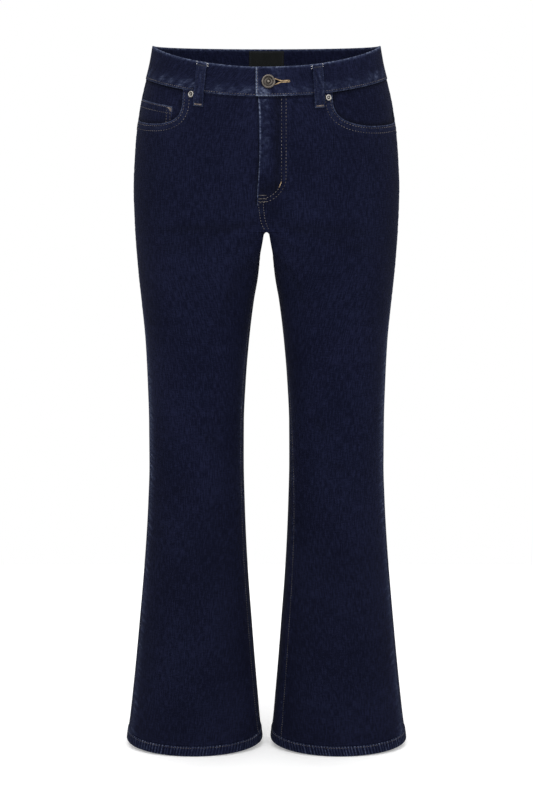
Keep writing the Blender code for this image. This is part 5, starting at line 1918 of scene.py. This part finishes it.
def sew_buttonhole():
    """Dense gold stitches round the keyhole, a bar at its end and one beside the fly."""
    gold = Thread("sewing_buttonhole", GOLD_THREAD)
    place = tab_frame()
    centre, round_it, up, _ = place
    slit = np.arange(0.3 * MM, BUTTONHOLE_END + 2.5 * MM, 0.5 * MM)

    def onto(points):
        """Lays (round, up) points on the tab."""
        points = np.array([in_frame(place, x, y) for x, y in points])
        girth = BUTTON_GIRTH + (points - centre) @ round_it
        level = BUTTON_LEVEL + (points - centre) @ up
        return with_normal(LEFT, girth, level, band_lies(LEFT, girth, level))

    inner_end, outer_end = half_round(slit_half(0), 26), half_round(slit_half(0) + 1.9 * MM, 26)
    for hand in (-1, 1):
        inner_end += [(x, hand * max(slit_half(x) - 0.1 * MM, 0.1 * MM)) for x in slit]
        outer_end += [(x, hand * (slit_half(x) + 1.7 * MM)) for x in slit]
    start, away = onto(inner_end)
    gold.bars(start, onto(outer_end)[0], away, 0.38 * MM)
    bar = BUTTON_GIRTH + BUTTONHOLE_END + 3.2 * MM
    gold.tack(LEFT, bar, BUTTON_LEVEL, band_lies, 1.4 * MM, 3.4 * MM)
    gold.tack(LEFT, 18.6 * MM, -165 * MM, front_out, 1.4 * MM, 9 * MM, lean=-0.35)
    gold.build()


LABEL_INSET = 1.6 * MM


def sew_label():
    """A running stitch along the label's edge."""
    thread = Thread("sewing_waist_label", NAVY_THREAD, "label_cloth")
    out = LABEL_OUT - LABEL_THICK
    half, low = LABEL_WIDTH / 2 - LABEL_INSET, LABEL_HEIGHT - LABEL_INSET
    corners = [(-half, LABEL_INSET), (half, LABEL_INSET), (half, low), (-half, low)]
    for a, b in zip(corners, corners[1:] + corners[:1]):
        t = np.linspace(0, 1, 30)
        girth, level = label_place(a[0] + (b[0] - a[0]) * t, a[1] + (b[1] - a[1]) * t)
        point = surface(LEFT, girth, level, out)
        inward = surface(LEFT, girth, level, out - MM) - point
        run = run_along(point)
        where = np.linspace(0, run[-1], max(2, int(run[-1] / (2.6 * MM))) + 1)
        at, normal = read_path(where, run, point), read_path(where, run, inward)
        thread.bars(at[:-1], at[:-1] + (at[1:] - at[:-1]) * 0.7, normal[:-1], 0.16 * MM)
    thread.build()


# ---------------------------------------------------------------------------------------
# The studio

CAMERA_BACK = 2.6
CAMERA_HEIGHT = -0.1
CAMERA_PITCH = np.radians(8.25)
FOCAL_PIXELS = 1831.0
PHOTO_HEIGHT = 800
SENSOR = 36.0


def camera():
    made = add("camera", bpy.data.cameras.new("camera"))
    made.location = (0, -CAMERA_BACK, CAMERA_HEIGHT)
    made.rotation_euler = (np.pi / 2 - CAMERA_PITCH, 0, 0)
    made.data.sensor_fit = "VERTICAL"
    made.data.sensor_height = SENSOR
    made.data.lens = FOCAL_PIXELS * SENSOR / PHOTO_HEIGHT
    bpy.context.scene.camera = made


def soft_light(name, place, target, size, watts):
    data = bpy.data.lights.new(name, "AREA")
    data.shape = "RECTANGLE"
    data.size, data.size_y = size
    data.energy = watts
    made = add(name, data)
    made.location = place
    toward = np.array(target, float) - np.array(place, float)
    made.rotation_euler = Vector(toward).to_track_quat("-Z", "Y").to_euler()


WORLD_LIGHT = 0.62
PAPER_GLOW = 0.26  # lifts the paper to white where the camera sees it
HALF_FLOOR = 1.15
FLOOR_DROP = 0.6 * MM  # below the lowest edge of the hems
# Name, place, target, size and watts of each soft light.
LIGHTS = [
    ("key", (-0.8, -2.1, 1.25), (0, 0, -0.3), (1.7, 1.7), 27),
    ("fill", (1.4, -2.0, 0.7), (0, 0, -0.3), (1.6, 1.6), 18),
    ("overhead", (0, 0.4, 2.4), (0, 0, -1.0), (3.0, 3.0), 56),
]


def paper_world():
    """Soft light from all round, and plain white where the camera sees past the floor."""
    scene = bpy.context.scene
    scene.view_settings.view_transform = "Standard"
    scene.world = bpy.data.worlds.new("studio")
    scene.world.use_nodes = True
    tree = scene.world.node_tree
    light, seen = tree.nodes["Background"], tree.nodes.new("ShaderNodeBackground")
    for shader, strength in ((light, WORLD_LIGHT), (seen, 1.0)):
        shader.inputs[0].default_value = (1, 1, 1, 1)
        shader.inputs[1].default_value = strength
    path = tree.nodes.new("ShaderNodeLightPath")
    both = tree.nodes.new("ShaderNodeMixShader")
    links = ((path.outputs["Is Camera Ray"], both.inputs[0]), (light.outputs[0], both.inputs[1]),
             (seen.outputs[0], both.inputs[2]),
             (both.outputs[0], tree.nodes["World Output"].inputs[0]))
    for start, end in links:
        tree.links.new(start, end)


def paper_floor():
    """A sheet of white paper under the hems."""
    g = Graph("paper")
    glow = g.times(g.node("ShaderNodeLightPath"), PAPER_GLOW)
    paper = g.finish(Base_Color=(0.90, 0.90, 0.90), Roughness=0.95, Specular_IOR_Level=0.1,
                     Emission_Color=(1.0, 1.0, 1.0), Emission_Strength=glow)
    level = min(corner[2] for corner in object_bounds()) - FLOOR_DROP
    corners = ((-1, -1), (1, -1), (1, 1), (-1, 1))
    points = np.array([(x * HALF_FLOOR, y * HALF_FLOOR, level) for x, y in corners])
    mesh_of_quads("floor", points, np.array([[0, 1, 2, 3]]), paper)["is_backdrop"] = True


def main():
    for word, side in (("left", LEFT), ("right", RIGHT)):
        for piece in (front_panel, back_panel, yoke, hem, pocket_facing, back_pocket):
            piece(word, side)
    waistband()
    coin_pocket()
    closure()
    waist_label()
    for name, loop in BELT_LOOPS.items():
        belt_loop(name, loop)
    button()
    for name, (side, girth, drop) in RIVETS.items():
        rivet(name, side, girth * MM, WAIST_SEAM - drop * MM)
    for sew in (sew_front, sew_band, sew_back, sew_coin, sew_hems, sew_loops, sew_tacks,
                sew_buttonhole, sew_label):
        sew()
    camera()
    paper_world()
    for light in LIGHTS:
        soft_light(*light)
    paper_floor()


main()
